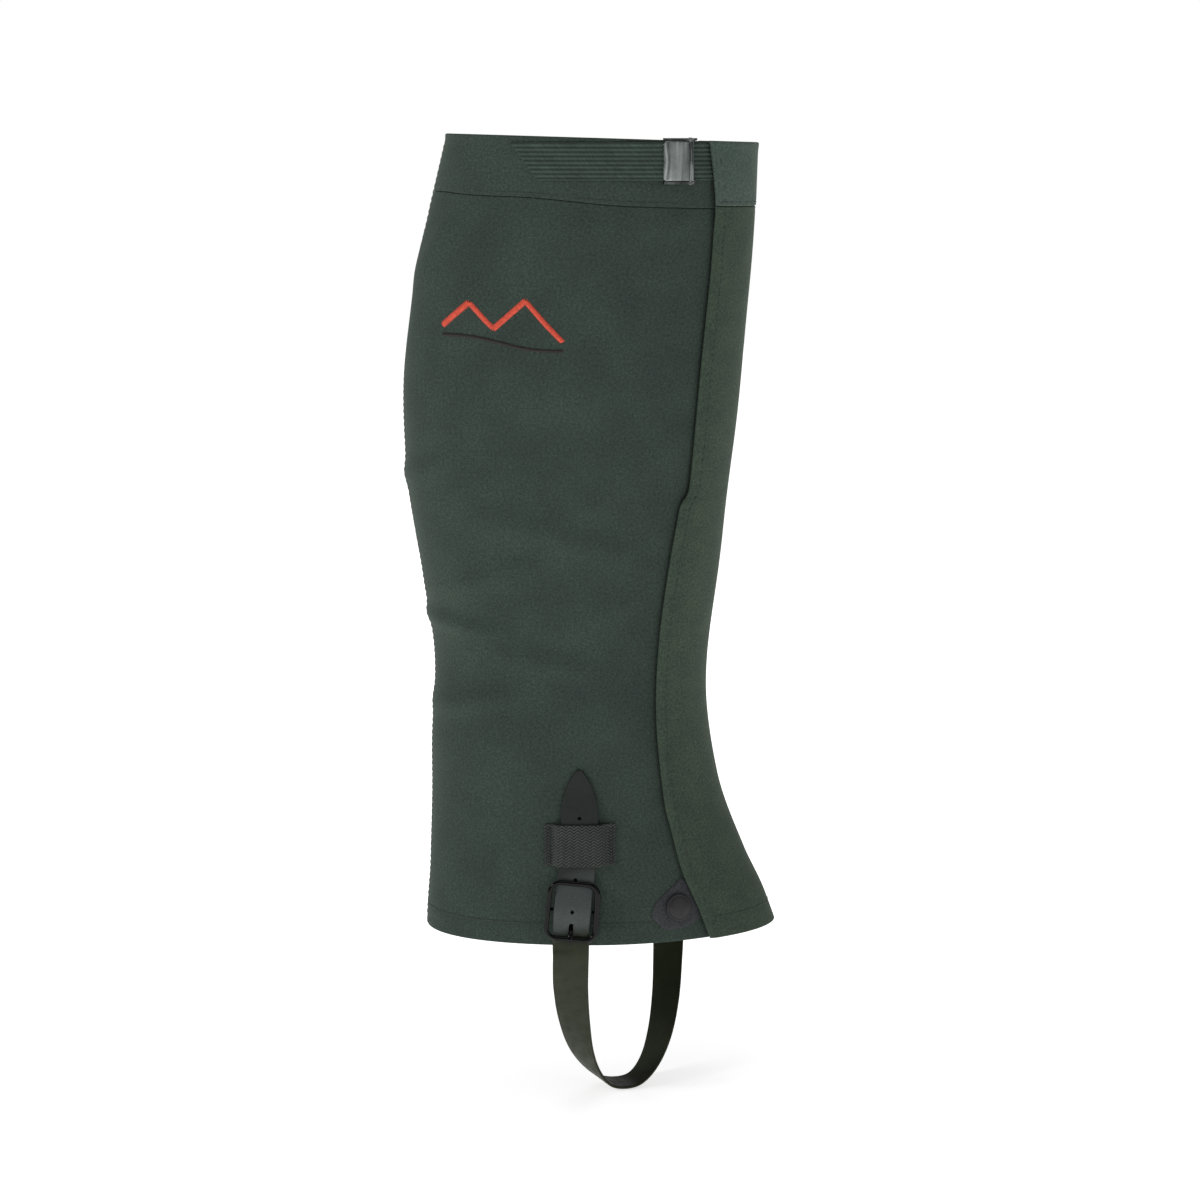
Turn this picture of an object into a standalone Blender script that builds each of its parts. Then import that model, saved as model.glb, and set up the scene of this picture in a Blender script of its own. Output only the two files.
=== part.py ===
"""One tall hiking gaiter: fabric shell, front flap, cam-buckled top strap and buckled instep strap.

Metres, +Z up the leg, +X towards the toe, -Y the outer (lateral) side of a right leg. The origin
is the middle of the bottom opening, in the plane of the hem. Each object is one physical piece.
Run it with blender --background --python part.py, or from Blender's text editor.
"""

import math

import bmesh
import bpy
from mathutils import Matrix, Vector

MM = 0.001

# The shell: (height, value) pairs that a smooth curve passes through, in millimetres.
BACK_LINE = [(0, -99), (60, -95.5), (160, -93.5), (225, -102.5), (292, -110), (360, -103), (441, -84.5)]
FRONT_LINE = [
    (0, 95.5), (20, 88), (42, 78), (86, 62.5), (140, 56), (225, 64.5), (325, 75.5), (400, 81), (445, 82.5),
]
HALF_DEPTH = [(0, 57), (60, 53), (150, 50), (290, 60), (441, 55)]
FRONT_ROUNDNESS = [(0, 1.75), (150, 2.1), (441, 2.3)]
BACK_ROUNDNESS = 2.35
RIM_HEIGHT = 441.0
RIM_SLOPE = -0.03
CUFF_HEIGHT = 32.0
PANEL = 2.0
JOIN_GAP = 0.3
PANEL_TURNS = {"lateral": (0.6, 168), "medial": (188, 359.4)}
HEM_FACING_TURNS = {"lateral": (2, 145), "medial": (212, 358)}
HEM_FACING_HEIGHTS = (0.5, 12.5)
UNDERLAP_TURNS = (150, 208)
BACK_TAPE_TURNS = (-9, 9)

# The front closure.
FLAP_INNER = 2.3
FLAP_OUTER = 3.9
FLAP_EDGE = [
    (0, 60.5), (17, 54), (38, 45), (60, 39), (79, 34.5), (128, 30), (171, 32), (210, 37.5), (255, 46),
    (319, 53), (400, 60), (445, 56),
]
FLAP_ROOT = [(0, 55), (140, 40), (290, 52), (441, 55)]
FLAP_CUFF_HEIGHT = 34.0
TAPE_WIDTH = 20.0
TAPE_INSET = 4.0
TAPE_HEIGHTS = (36, 398)

# The top strap and its cam buckle.
STRAP_MIDDLE = 428.8
STRAP_WIDTH = 20.0
STRAP_THICK = 1.2
STRAP_GAP = 0.5
STRAP_TAIL = (-33.0, -47.5)
STRAP_END_TURN = 222
CAM_X = 42.0
BASE_PLATE = (0.4, 1.2)
REAR_BAR = (-8.2, 2.1, 0.8)
CAM_PIN = (4.5, 5.0, 0.9)
BARREL_RADIUS = 1.8
EAR_INNER = 10.9
EAR_OUTER = 12.1

# The instep strap and its buckle.
INSTEP_WIDTH = 20.0
INSTEP_THICK = 1.6
INSTEP_FOOT_X = -16.0
INSTEP_LEAN = (4.6, 70.0)
BUCKLE_Z = 20.0
BUCKLE_HALF = (14.75, 17.0)
BAR_RADIUS = 1.4
BAR_HEIGHT = 4.8
CENTRE_BAR_RADIUS = 0.9
CENTRE_BAR_HEIGHT = 2.5
STRAP_TIP = (68.5, 98.4)
STRAP_HOLES = (46.5, 73.0)
KEEPER = (-30.4, 8.2, 44.8, 68.2)
LOOP_TOP = -5.5
TAIL_FOOT = -1.0
MEDIAL_FOOT_X = 40.0
SOLE_SPAN = 6

# The press stud and its inner tab.
SNAP = (43.0, 19.0)
CAP_RADIUS = 7.5
POST_RADIUS = 1.5
SOCKET_RADII = (2.7, 5.4)
STUD_RADIUS = 1.9
TAB_DEPTH = (5.0, 6.4)
TAB_TURNS = (146, 147)

# The lace hook inside the front of the hem.
HOOK_X = 74.0
HOOK_Z = 21.0

COLOURS = {
    "shell_fabric": ((0.036, 0.050, 0.042), 0.95, 0.0),
    "flap_fabric": ((0.047, 0.062, 0.044), 0.95, 0.0),
    "cuff_fabric": ((0.040, 0.054, 0.047), 0.9, 0.0),
    "inner_tape": ((0.02, 0.022, 0.022), 0.9, 0.0),
    "hook_and_loop": ((0.018, 0.02, 0.02), 1.0, 0.0),
    "elastic_webbing": ((0.040, 0.052, 0.045), 0.8, 0.0),
    "black_webbing": ((0.02, 0.022, 0.02), 0.7, 0.0),
    "instep_rubber": ((0.035, 0.037, 0.022), 0.6, 0.0),
    "gunmetal": ((0.30, 0.31, 0.30), 0.25, 1.0),
    "black_enamel": ((0.01, 0.01, 0.011), 0.2, 0.0),
    "snap_enamel": ((0.035, 0.033, 0.035), 0.45, 0.0),
    "steel": ((0.45, 0.45, 0.45), 0.3, 1.0),
    "patch_fabric": ((0.034, 0.034, 0.038), 0.8, 0.0),
    "orange_thread": ((0.80, 0.10, 0.04), 0.6, 0.0),
    "brown_thread": ((0.02, 0.012, 0.008), 0.7, 0.0),
}


def clear_scene():
    """Remove whatever the file opened with."""
    for item in list(bpy.data.objects):
        bpy.data.objects.remove(item, do_unlink=True)


def finish_of(slot):
    """The material of one finish, made on first use."""
    material = bpy.data.materials.get(slot)
    if material:
        return material
    colour, roughness, metallic = COLOURS[slot]
    material = bpy.data.materials.new(slot)
    material.use_nodes = True
    shader = material.node_tree.nodes["Principled BSDF"]
    shader.inputs["Base Color"].default_value = (*colour, 1.0)
    shader.inputs["Roughness"].default_value = roughness
    shader.inputs["Metallic"].default_value = metallic
    return material


def read_curve(points, at):
    """The value, at one height, of the smooth curve through (height, value) points."""
    if at <= points[0][0]:
        return points[0][1]
    if at >= points[-1][0]:
        return points[-1][1]
    last = len(points) - 1
    i = max(k for k in range(last) if points[k][0] <= at)

    def slope(k):
        before, after = points[max(k - 1, 0)], points[min(k + 1, last)]
        return (after[1] - before[1]) / (after[0] - before[0])

    (z0, v0), (z1, v1) = points[i], points[i + 1]
    span = z1 - z0
    t = (at - z0) / span
    return (
        (2 * t**3 - 3 * t**2 + 1) * v0
        + (t**3 - 2 * t**2 + t) * span * slope(i)
        + (3 * t**2 - 2 * t**3) * v1
        + (t**3 - t**2) * span * slope(i + 1)
    )


def ease(t):
    """A smooth step from 0 to 1."""
    t = min(max(t, 0.0), 1.0)
    return t * t * (3 - 2 * t)


def steps(start, end, count):
    """count + 1 evenly spaced values from start to end."""
    return [start + (end - start) * i / count for i in range(count + 1)]


# The shell's section at a height is an oval with a rounder back and a sharper front. A turn of 0
# degrees is the back, 90 the lateral side, 180 the front crease and 270 the medial side.


def section(z):
    """Middle and half length of the oval at a height."""
    back, front = read_curve(BACK_LINE, z), read_curve(FRONT_LINE, z)
    return (back + front) / 2, (front - back) / 2


def on_oval(z, turn):
    """The shell's outer surface at a height and a turn, in millimetres."""
    middle, half = section(z)
    along = -math.cos(math.radians(turn))
    power = read_curve(FRONT_ROUNDNESS, z) if along > 0 else BACK_ROUNDNESS
    depth = read_curve(HALF_DEPTH, z) * max(1 - abs(along) ** power, 0.0) ** (1 / power)
    side = -1 if math.sin(math.radians(turn)) > 0 else 1
    return Vector((middle + half * along, side * depth, z))


def skin(z, turn, off):
    """A point off millimetres outside the shell's outer surface, in metres."""
    tangent = on_oval(z, turn + 1.0) - on_oval(z, turn - 1.0)
    outward = Vector((tangent.y, -tangent.x, 0)).normalized()
    return (on_oval(z, turn) + outward * off) * MM


def turn_at(z, x, medial=False):
    """The turn where the shell reaches x at a height."""
    middle, half = section(z)
    turn = math.degrees(math.acos(max(-1.0, min(1.0, (middle - x) / half))))
    return 360 - turn if medial else turn


def rim(turn):
    """The rim's height, a little lower towards the front."""
    return RIM_HEIGHT + RIM_SLOPE * on_oval(RIM_HEIGHT, turn).x


def named(name, mesh, slot, smooth=True):
    """Put a mesh in the scene as one piece."""
    item = bpy.data.objects.new(name, mesh)
    bpy.context.scene.collection.objects.link(item)
    mesh.materials.append(finish_of(slot))
    if smooth:
        mesh.shade_smooth()
        mesh.set_sharp_from_angle(angle=math.radians(40))
    return item


def slab(outer, inner):
    """A closed sheet between two grids of points, as a mesh with its faces out."""
    rows, columns = len(outer), len(outer[0])
    form = bmesh.new()
    layers = [[[form.verts.new(point) for point in row] for row in grid] for grid in (outer, inner)]
    top, low = layers
    for i in range(rows - 1):
        for j in range(columns - 1):
            form.faces.new((top[i][j], top[i][j + 1], top[i + 1][j + 1], top[i + 1][j]))
            form.faces.new((low[i][j], low[i + 1][j], low[i + 1][j + 1], low[i][j + 1]))
    border = [(0, j) for j in range(columns)]
    border += [(i, columns - 1) for i in range(1, rows)]
    border += [(rows - 1, j) for j in range(columns - 2, -1, -1)]
    border += [(i, 0) for i in range(rows - 2, 0, -1)]
    for (a, b), (c, d) in zip(border, border[1:] + border[:1]):
        form.faces.new((top[a][b], low[a][b], low[c][d], top[c][d]))
    bmesh.ops.recalc_face_normals(form, faces=form.faces)
    mesh = bpy.data.meshes.new("slab")
    form.to_mesh(mesh)
    form.free()
    return mesh


def wall(name, slot, turns, heights, offsets, rows, columns):
    """A layer of the shell.

    turns(z) gives its first and last turn, heights(turn) its lowest and highest edge, and
    offsets(z) how far its inner and outer faces are outside the shell's surface.
    """

    def grid(face):
        made = []
        for i in range(rows + 1):
            line = []
            for j in range(columns + 1):
                z = RIM_HEIGHT / 2
                for _ in range(4):
                    first, last = turns(z)
                    turn = first + (last - first) * j / columns
                    low, high = heights(turn)
                    z = low + (high - low) * i / rows
                line.append(skin(z, turn, offsets(z)[face]))
            made.append(line)
        return made

    return named(name, slab(grid(1), grid(0)), slot)


def ribbon(name, slot, centres, sides, width, thick):
    """A flat band along centre points, with the direction of its width at each of them."""
    outer, inner = [], []
    last = len(centres) - 1
    for i, centre in enumerate(centres):
        ahead = (centres[min(i + 1, last)] - centres[max(i - 1, 0)]).normalized()
        side = (sides[i] - ahead * ahead.dot(sides[i])).normalized()
        face = ahead.cross(side)
        edges = [centre - side * width / 2, centre, centre + side * width / 2]
        outer.append([edge + face * thick / 2 for edge in edges])
        inner.append([edge - face * thick / 2 for edge in edges])
    return named(name, slab(outer, inner), slot)


def tube(name, slot, points, radius, closed=False, corners=10):
    """A round bar along points."""
    count = len(points)
    form = bmesh.new()
    rings = []
    side = None
    for i, point in enumerate(points):
        before = points[i - 1] if closed or i else points[0]
        after = points[(i + 1) % count] if closed or i < count - 1 else points[-1]
        ahead = (after - before).normalized()
        if side is None:
            side = ahead.orthogonal()
        side = (side - ahead * ahead.dot(side)).normalized()
        up = ahead.cross(side)
        angles = [2 * math.pi * k / corners for k in range(corners)]
        rings.append([form.verts.new(point + (side * math.cos(a) + up * math.sin(a)) * radius) for a in angles])
    pairs = list(zip(rings, rings[1:] + (rings[:1] if closed else [])))
    for first, second in pairs:
        for k in range(corners):
            n = (k + 1) % corners
            form.faces.new((first[k], first[n], second[n], second[k]))
    if not closed:
        form.faces.new(rings[0])
        form.faces.new(rings[-1])
    bmesh.ops.recalc_face_normals(form, faces=form.faces)
    mesh = bpy.data.meshes.new(name)
    form.to_mesh(mesh)
    form.free()
    return named(name, mesh, slot)


def turned(name, slot, profile, corners=24):
    """A turned piece about its local +Z axis, from (radius, height) points; radius 0 closes it."""
    form = bmesh.new()
    rings = []
    for radius, height in profile:
        if radius == 0:
            rings.append([form.verts.new((0, 0, height * MM))])
            continue
        angles = [2 * math.pi * k / corners for k in range(corners)]
        rings.append([
            form.verts.new((radius * math.cos(a) * MM, radius * math.sin(a) * MM, height * MM)) for a in angles
        ])
    loop = list(zip(rings, rings[1:]))
    if len(rings[0]) > 1 and len(rings[-1]) > 1:
        loop.append((rings[-1], rings[0]))
    for first, second in loop:
        for k in range(corners):
            n = (k + 1) % corners
            face = [first[k % len(first)], first[n % len(first)], second[n % len(second)], second[k % len(second)]]
            face = [vert for m, vert in enumerate(face) if vert not in face[:m]]
            if len(face) > 2:
                form.faces.new(face)
    bmesh.ops.recalc_face_normals(form, faces=form.faces)
    mesh = bpy.data.meshes.new(name)
    form.to_mesh(mesh)
    form.free()
    return named(name, mesh, slot)


def block(name, slot, low, high, frame):
    """A rectangular piece between two corners given in a local frame, in millimetres."""
    form = bmesh.new()
    bmesh.ops.create_cube(form, size=1.0)
    size = [h - l for l, h in zip(low, high)]
    middle = [(h + l) / 2 for l, h in zip(low, high)]
    shape = Matrix.Translation(Vector(middle) * MM) @ Matrix.Diagonal((*[s * MM for s in size], 1))
    bmesh.ops.transform(form, matrix=frame @ shape, verts=form.verts)
    bmesh.ops.recalc_face_normals(form, faces=form.faces)
    mesh = bpy.data.meshes.new(name)
    form.to_mesh(mesh)
    form.free()
    return named(name, mesh, slot, smooth=False)


def plate(name, slot, outline, low, high, frame):
    """A flat piece: an outline in the local X and Y, from local Z low to high, in millimetres."""
    form = bmesh.new()
    floor = [form.verts.new(frame @ (Vector((x, y, low)) * MM)) for x, y in outline]
    ceiling = [form.verts.new(frame @ (Vector((x, y, high)) * MM)) for x, y in outline]
    form.faces.new(floor)
    form.faces.new(ceiling)
    for k in range(len(outline)):
        n = (k + 1) % len(outline)
        form.faces.new((floor[k], floor[n], ceiling[n], ceiling[k]))
    bmesh.ops.recalc_face_normals(form, faces=form.faces)
    mesh = bpy.data.meshes.new(name)
    form.to_mesh(mesh)
    form.free()
    return named(name, mesh, slot, smooth=False)


def settle(item):
    """Replace an object's mesh by what its modifiers make of it."""
    bpy.context.view_layer.update()
    result = item.evaluated_get(bpy.context.evaluated_depsgraph_get())
    mesh = bpy.data.meshes.new_from_object(result)
    item.modifiers.clear()
    item.data = mesh


def combine(item, others, operation):
    """Join other solids to a piece, or cut it with them, and drop them."""
    for other in others:
        step = item.modifiers.new(operation.lower(), "BOOLEAN")
        step.operation = operation
        step.object = other
    settle(item)
    for other in others:
        bpy.data.objects.remove(other, do_unlink=True)


def bar(frame, start, end, radius, corners=16):
    """A plain round bar between two local points, for joining and cutting."""
    points = [frame @ (Vector(start) * MM), frame @ (Vector(end) * MM)]
    return tube("bar", "steel", points, radius * MM, corners=corners)


def frame_on_shell(x, z):
    """A local (left-handed) frame on the lateral side: +X to the front, +Y out of it, +Z up it."""
    here = skin(z, turn_at(z, x), 0)
    ahead = (skin(z, turn_at(z, x + 1), 0) - here).normalized()
    up = skin(z + 1, turn_at(z + 1, x), 0) - here
    up = (up - ahead * ahead.dot(up)).normalized()
    frame = Matrix((ahead, ahead.cross(up), up)).transposed().to_4x4()
    frame.translation = here
    return frame


# Fabric shell


def make_shell():
    """Panels, cuffs, inner tapes and the underlap behind the front opening."""
    cuff_foot = lambda turn: rim(turn) - CUFF_HEIGHT
    lateral = lambda z: PANEL_TURNS["lateral"]
    medial = lambda z: PANEL_TURNS["medial"]
    panel_faces = lambda z: (-PANEL, 0)
    panel = wall("lateral_panel", "shell_fabric", lateral, lambda t: (0, cuff_foot(t) - JOIN_GAP), panel_faces, 18, 22)
    wall("medial_panel", "shell_fabric", medial, lambda t: (0, cuff_foot(t) - JOIN_GAP), panel_faces, 18, 22)
    wall("lateral_cuff", "cuff_fabric", lateral, lambda t: (cuff_foot(t), rim(t)), panel_faces, 2, 22)
    wall("medial_cuff", "cuff_fabric", medial, lambda t: (cuff_foot(t), rim(t)), panel_faces, 2, 22)
    inner = lambda z: (-PANEL - 1.5, -PANEL - 0.5)
    tape = lambda z: (-PANEL - 1.9, -PANEL - 0.9)
    wall("back_seam_tape", "inner_tape", lambda z: BACK_TAPE_TURNS, lambda t: (13.5, rim(t) - 3), tape, 14, 6)
    hem = lambda t: HEM_FACING_HEIGHTS
    wall("lateral_hem_facing", "inner_tape", lambda z: HEM_FACING_TURNS["lateral"], hem, inner, 1, 16)
    wall("medial_hem_facing", "inner_tape", lambda z: HEM_FACING_TURNS["medial"], hem, inner, 1, 16)
    wall(
        "underlap",
        "shell_fabric",
        lambda z: UNDERLAP_TURNS,
        lambda t: (1, rim(t) - 4),
        lambda z: (-PANEL - 2.6, -PANEL - 1.2),
        16,
        10,
    )
    return panel


def make_closure():
    """The front flap with its cuff band, and the hook and loop tapes."""

    def flap_turns(z):
        return turn_at(z, read_curve(FLAP_EDGE, z)), turn_at(z, read_curve(FLAP_ROOT, z), medial=True)

    def tape_turns(z):
        near = read_curve(FLAP_EDGE, z) + TAPE_INSET
        front = sum(section(z)) - 2.5
        return turn_at(z, near), turn_at(z, min(near + TAPE_WIDTH, front))

    faces = lambda z: (FLAP_INNER, FLAP_OUTER)
    seam = lambda turn: rim(turn) - FLAP_CUFF_HEIGHT
    wall("front_flap", "flap_fabric", flap_turns, lambda t: (0, seam(t) - JOIN_GAP), faces, 18, 14)
    wall("flap_cuff", "cuff_fabric", flap_turns, lambda t: (seam(t), rim(t) + 0.3), faces, 2, 14)
    wall("hook_tape", "hook_and_loop", tape_turns, lambda t: TAPE_HEIGHTS, lambda z: (0.4, 0.9), 16, 6)
    wall("loop_tape", "hook_and_loop", tape_turns, lambda t: TAPE_HEIGHTS, lambda z: (1.3, 1.8), 16, 6)


# Top strap and cam buckle


def make_top_strap():
    """Elastic webbing from its seam on the medial cuff, round the front and through the cam buckle."""
    frame = frame_on_shell(CAM_X, STRAP_MIDDLE)
    half, rest = STRAP_THICK / 2, STRAP_THICK / 2 + STRAP_GAP
    tail_low, tail_high = STRAP_TAIL
    behind = [(-40, rest), (-30, rest + 0.6), (-24, 2.9), (-19, 3.1), (-14.5, 3.4)]
    buckled = [(-11, 4.1), (-8.2, 5.0), (-5.6, 3.6), (-3.4, 2.4), (-1, 2.2), (3, 2.2), (6, 2.2), (8.6, 2.1)]
    ahead = [(11.5, 1.9), (14, 1.4), (17, rest), (22, rest)]
    outer, inner = [], []
    for share in (0.0, 0.5, 1.0):
        rise = (share - 0.5) * STRAP_WIDTH
        z = STRAP_MIDDLE + rise
        cut = tail_low + (tail_high - tail_low) * share
        spots = [(turn_at(z, x), rest) for x in steps(cut, CAM_X + behind[0][0], 4)[:-1]]
        spots += [(turn_at(z, CAM_X + x), height) for x, height in behind]
        exits = [(turn_at(z, CAM_X + x), height) for x, height in ahead]
        exits += [(turn, rest) for turn in steps(exits[-1][0], STRAP_END_TURN, 18)[1:]]
        for side, grid in ((1, outer), (-1, inner)):
            line = [skin(z, turn, height + side * half) for turn, height in spots]
            line += [frame @ (Vector((x, height + side * half, rise)) * MM) for x, height in buckled]
            line += [skin(z, turn, height + side * half) for turn, height in exits]
            grid.append(line)
    named("top_strap", slab(outer, inner), "elastic_webbing")


def make_cam_buckle():
    """The cam buckle: frame with ears and rear bar, pin, lever, and the webbing that anchors it."""
    frame = frame_on_shell(CAM_X, STRAP_MIDDLE)
    bar_x, bar_h, bar_r = REAR_BAR
    pin_x, pin_h, pin_r = CAM_PIN
    side = [
        (-9.4, 1.0), (-9.4, 2.8), (-3.5, 3.2), (1.2, 5.6), (2.6, 6.6),
        (6.2, 6.6), (8.6, 4.6), (9.4, 2.4), (9.4, 0.4), (-2, 0.4),
    ]
    body = block("cam_frame", "gunmetal", (-3.5, BASE_PLATE[0], -11.5), (9.0, BASE_PLATE[1], 11.5), frame)
    ears = [plate("ear", "gunmetal", side, low, low + EAR_OUTER - EAR_INNER, frame) for low in (-EAR_OUTER, EAR_INNER)]
    rear = bar(frame, (bar_x, bar_h, -11.5), (bar_x, bar_h, 11.5), bar_r)
    combine(body, ears + [rear], "UNION")
    bore = bar(frame, (pin_x, pin_h, -14), (pin_x, pin_h, 14), pin_r + 0.3)
    combine(body, [bore], "DIFFERENCE")
    tube(
        "cam_pin",
        "gunmetal",
        [frame @ (Vector((pin_x, pin_h, z)) * MM) for z in (-12.4, 12.4)],
        pin_r * MM,
        corners=16,
    )

    plate_path = [(-11.0, 5.9), (-8.0, 6.35), (-4.0, 6.6), (0.0, 6.5), (3.2, 6.0)]
    centres = [frame @ (Vector((x, h, 0)) * MM) for x, h in plate_path]
    across = frame.to_3x3() @ Vector((0, 0, 1))
    lever = ribbon("cam_lever", "gunmetal", centres, [across] * len(centres), 20.8 * MM, 1.0 * MM)
    barrel = bar(frame, (pin_x, pin_h, -10.4), (pin_x, pin_h, 10.4), BARREL_RADIUS, corners=20)
    combine(lever, [barrel], "UNION")
    hole = bar(frame, (pin_x, pin_h, -13), (pin_x, pin_h, 13), pin_r + 0.25)
    combine(lever, [hole], "DIFFERENCE")
    move_origin(lever, frame @ (Vector((pin_x, pin_h, 0)) * MM))

    thick, wrap = 0.7, bar_r + 0.3 + 0.35
    angles = [math.pi * (1 + k / 6) for k in range(7)]
    around = [(bar_x - wrap * math.sin(a), bar_h - wrap * math.cos(a)) for a in angles]
    on_cuff = lambda x, h: skin(STRAP_MIDDLE, turn_at(STRAP_MIDDLE, CAM_X + x), h)
    centres = [on_cuff(x, 0.75) for x in (-25, -21, -17, -13.5)]
    centres += [frame @ (Vector((x, h, 0)) * MM) for x, h in reversed(around)]
    centres += [on_cuff(-12, 2.8), on_cuff(-15.5, 1.85), on_cuff(-20, 1.8)]
    ribbon("cam_anchor", "black_webbing", centres, [across] * len(centres), 18 * MM, thick * MM)


def move_origin(item, point):
    """Put a piece's origin on its joint's axis."""
    item.data.transform(Matrix.Translation(-point))
    item.location = point


# Instep strap, its buckle, keeper and tab


def instep_x(z):
    """Middle of the instep strap on the lateral panel, leaning a little to the front as it rises."""
    shift, rise = INSTEP_LEAN
    return INSTEP_FOOT_X + shift * ease(z / rise)


def tail_height(z):
    """How far the buckled part of the instep strap lies off the panel, under and over the bars."""
    low = 0.4 + 0.8 + 0.4 + INSTEP_THICK / 2
    high = CENTRE_BAR_HEIGHT + 1.9 + 0.5 + INSTEP_THICK / 2
    reach = BUCKLE_HALF[1] - BAR_RADIUS
    away = abs(z - BUCKLE_Z) / reach
    if z > KEEPER[3]:
        return low + (0.4 + INSTEP_THICK / 2 - low) * ease((z - KEEPER[3]) / 20)
    return high + (low - high) * ease(away)


def tip_half_width(z):
    """Half the strap's width, drawn in to a point over the last part of its tail."""
    start, end = STRAP_TIP
    if z <= start:
        return INSTEP_WIDTH / 2
    t = (z - start) / (end - start)
    return INSTEP_WIDTH / 2 * max((1 - t**2.2), 0.0) ** 0.75 + 0.4


def make_instep_tail():
    """The part of the instep strap that climbs the lateral side through buckle and keeper."""
    zs = steps(TAIL_FOOT, 40, 20) + [45, 52, 60, 66, 70, 75, 80, 85, 89, 92.5, 95.5, 97.4, 98.4]
    outer, inner = [], []
    for z in zs:
        half, middle, height = tip_half_width(z), instep_x(z), tail_height(z)
        turns = [turn_at(z, middle + half * side) for side in (-1, -0.4, 0.4, 1)]
        outer.append([skin(z, turn, height + INSTEP_THICK / 2) for turn in turns])
        inner.append([skin(z, turn, height - INSTEP_THICK / 2) for turn in turns])
    tail = named("instep_strap_tail", slab(outer, inner), "instep_rubber")
    frame = buckle_frame()
    slot = block("slot", "steel", (-1.6, -2, -10.6), (1.6, 12, -0.9), frame)
    holes = []
    for z in STRAP_HOLES:
        local = frame_on_shell(instep_x(z), z)
        holes.append(bar(local, (0, -0.1, 0), (0, 8, 0), 1.3, corners=10))
    combine(tail, [slot] + holes, "DIFFERENCE")


def buckle_frame():
    """The instep buckle's local frame: +X to the front, +Y out of the panel, +Z up, leaned with the strap."""
    slope = (instep_x(BUCKLE_Z + 1) - instep_x(BUCKLE_Z - 1)) / 2
    return frame_on_shell(instep_x(BUCKLE_Z), BUCKLE_Z) @ Matrix.Rotation(math.atan(slope), 4, "Y")


def buckle_outline():
    """Middle line of the buckle's rim: a rectangle with round corners, a little narrower at the top."""
    half_x, half_z = BUCKLE_HALF[0] - BAR_RADIUS, BUCKLE_HALF[1] - BAR_RADIUS
    corner = 5.0
    points = []
    for quarter in range(4):
        sign_x = 1 if quarter in (0, 3) else -1
        sign_z = 1 if quarter < 2 else -1
        for k in range(5):
            a = math.radians(90 * quarter + 22.5 * k)
            x = sign_x * (half_x - corner) + corner * math.cos(a)
            z = sign_z * (half_z - corner) + corner * math.sin(a)
            points.append((x * (1 - 0.0016 * z), BAR_HEIGHT, z))
    return points


def make_instep_buckle():
    """A centre-bar buckle and its prong."""
    frame = buckle_frame()
    place = lambda point: frame @ (Vector(point) * MM)
    body = tube("instep_buckle", "black_enamel", [place(p) for p in buckle_outline()], BAR_RADIUS * MM, closed=True)
    edge = BUCKLE_HALF[0] - BAR_RADIUS
    dip = [(-edge, BAR_HEIGHT), (-edge + 0.6, BAR_HEIGHT - 0.6), (-edge + 1.6, CENTRE_BAR_HEIGHT + 0.25)]
    dip += [(-edge + 2.8, CENTRE_BAR_HEIGHT)]
    across = dip + [(-x, h) for x, h in reversed(dip)]
    middle_bar = tube("bar", "black_enamel", [place((x, h, 0)) for x, h in across], CENTRE_BAR_RADIUS * MM)
    combine(body, [middle_bar], "UNION")

    tip = (0, BAR_HEIGHT + BAR_RADIUS + 0.9 + 1.0, -17.4)
    prong = tube(
        "buckle_prong",
        "black_enamel",
        [place((0, CENTRE_BAR_HEIGHT + 0.3, -1.3)), place(tip)],
        0.9 * MM,
        corners=12,
    )
    ring = bar(frame, (-1.3, CENTRE_BAR_HEIGHT, 0), (1.3, CENTRE_BAR_HEIGHT, 0), 1.9, corners=20)
    combine(prong, [ring], "UNION")
    eye = bar(frame, (-3, CENTRE_BAR_HEIGHT, 0), (3, CENTRE_BAR_HEIGHT, 0), 1.2)
    combine(prong, [eye], "DIFFERENCE")
    move_origin(prong, place((0, CENTRE_BAR_HEIGHT, 0)))


def make_buckle_tab():
    """The webbing tab, sewn to the panel under the keeper and looped round the buckle's centre bar."""
    frame = buckle_frame()
    thick, wrap = 0.8, CENTRE_BAR_RADIUS + 0.3 + 0.4
    path = [(-wrap * math.sin(a), CENTRE_BAR_HEIGHT - wrap * math.cos(a)) for a in (k * math.pi / 6 for k in range(7))]
    path += [(3.5, 3.3), (6.5, 2.1)]
    climb = [BUCKLE_Z + z for z in (42, 34, 26, 19, 12, 7, 3)]
    centres = [skin(z, turn_at(z, instep_x(z)), 0.8) for z in climb]
    sides = [skin(z, turn_at(z, instep_x(z) + 8), 0) - skin(z, turn_at(z, instep_x(z) - 8), 0) for z in climb]
    centres += [frame @ (Vector((0, h, z)) * MM) for z, h in path]
    sides += [frame.to_3x3() @ Vector((1, 0, 0))] * len(path)
    tab = ribbon("buckle_tab", "black_webbing", centres, sides, 17.5 * MM, thick * MM)
    slot = block("slot", "steel", (-2.0, -2, -4), (2.0, 9, 3.0), frame)
    combine(tab, [slot], "DIFFERENCE")


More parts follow.
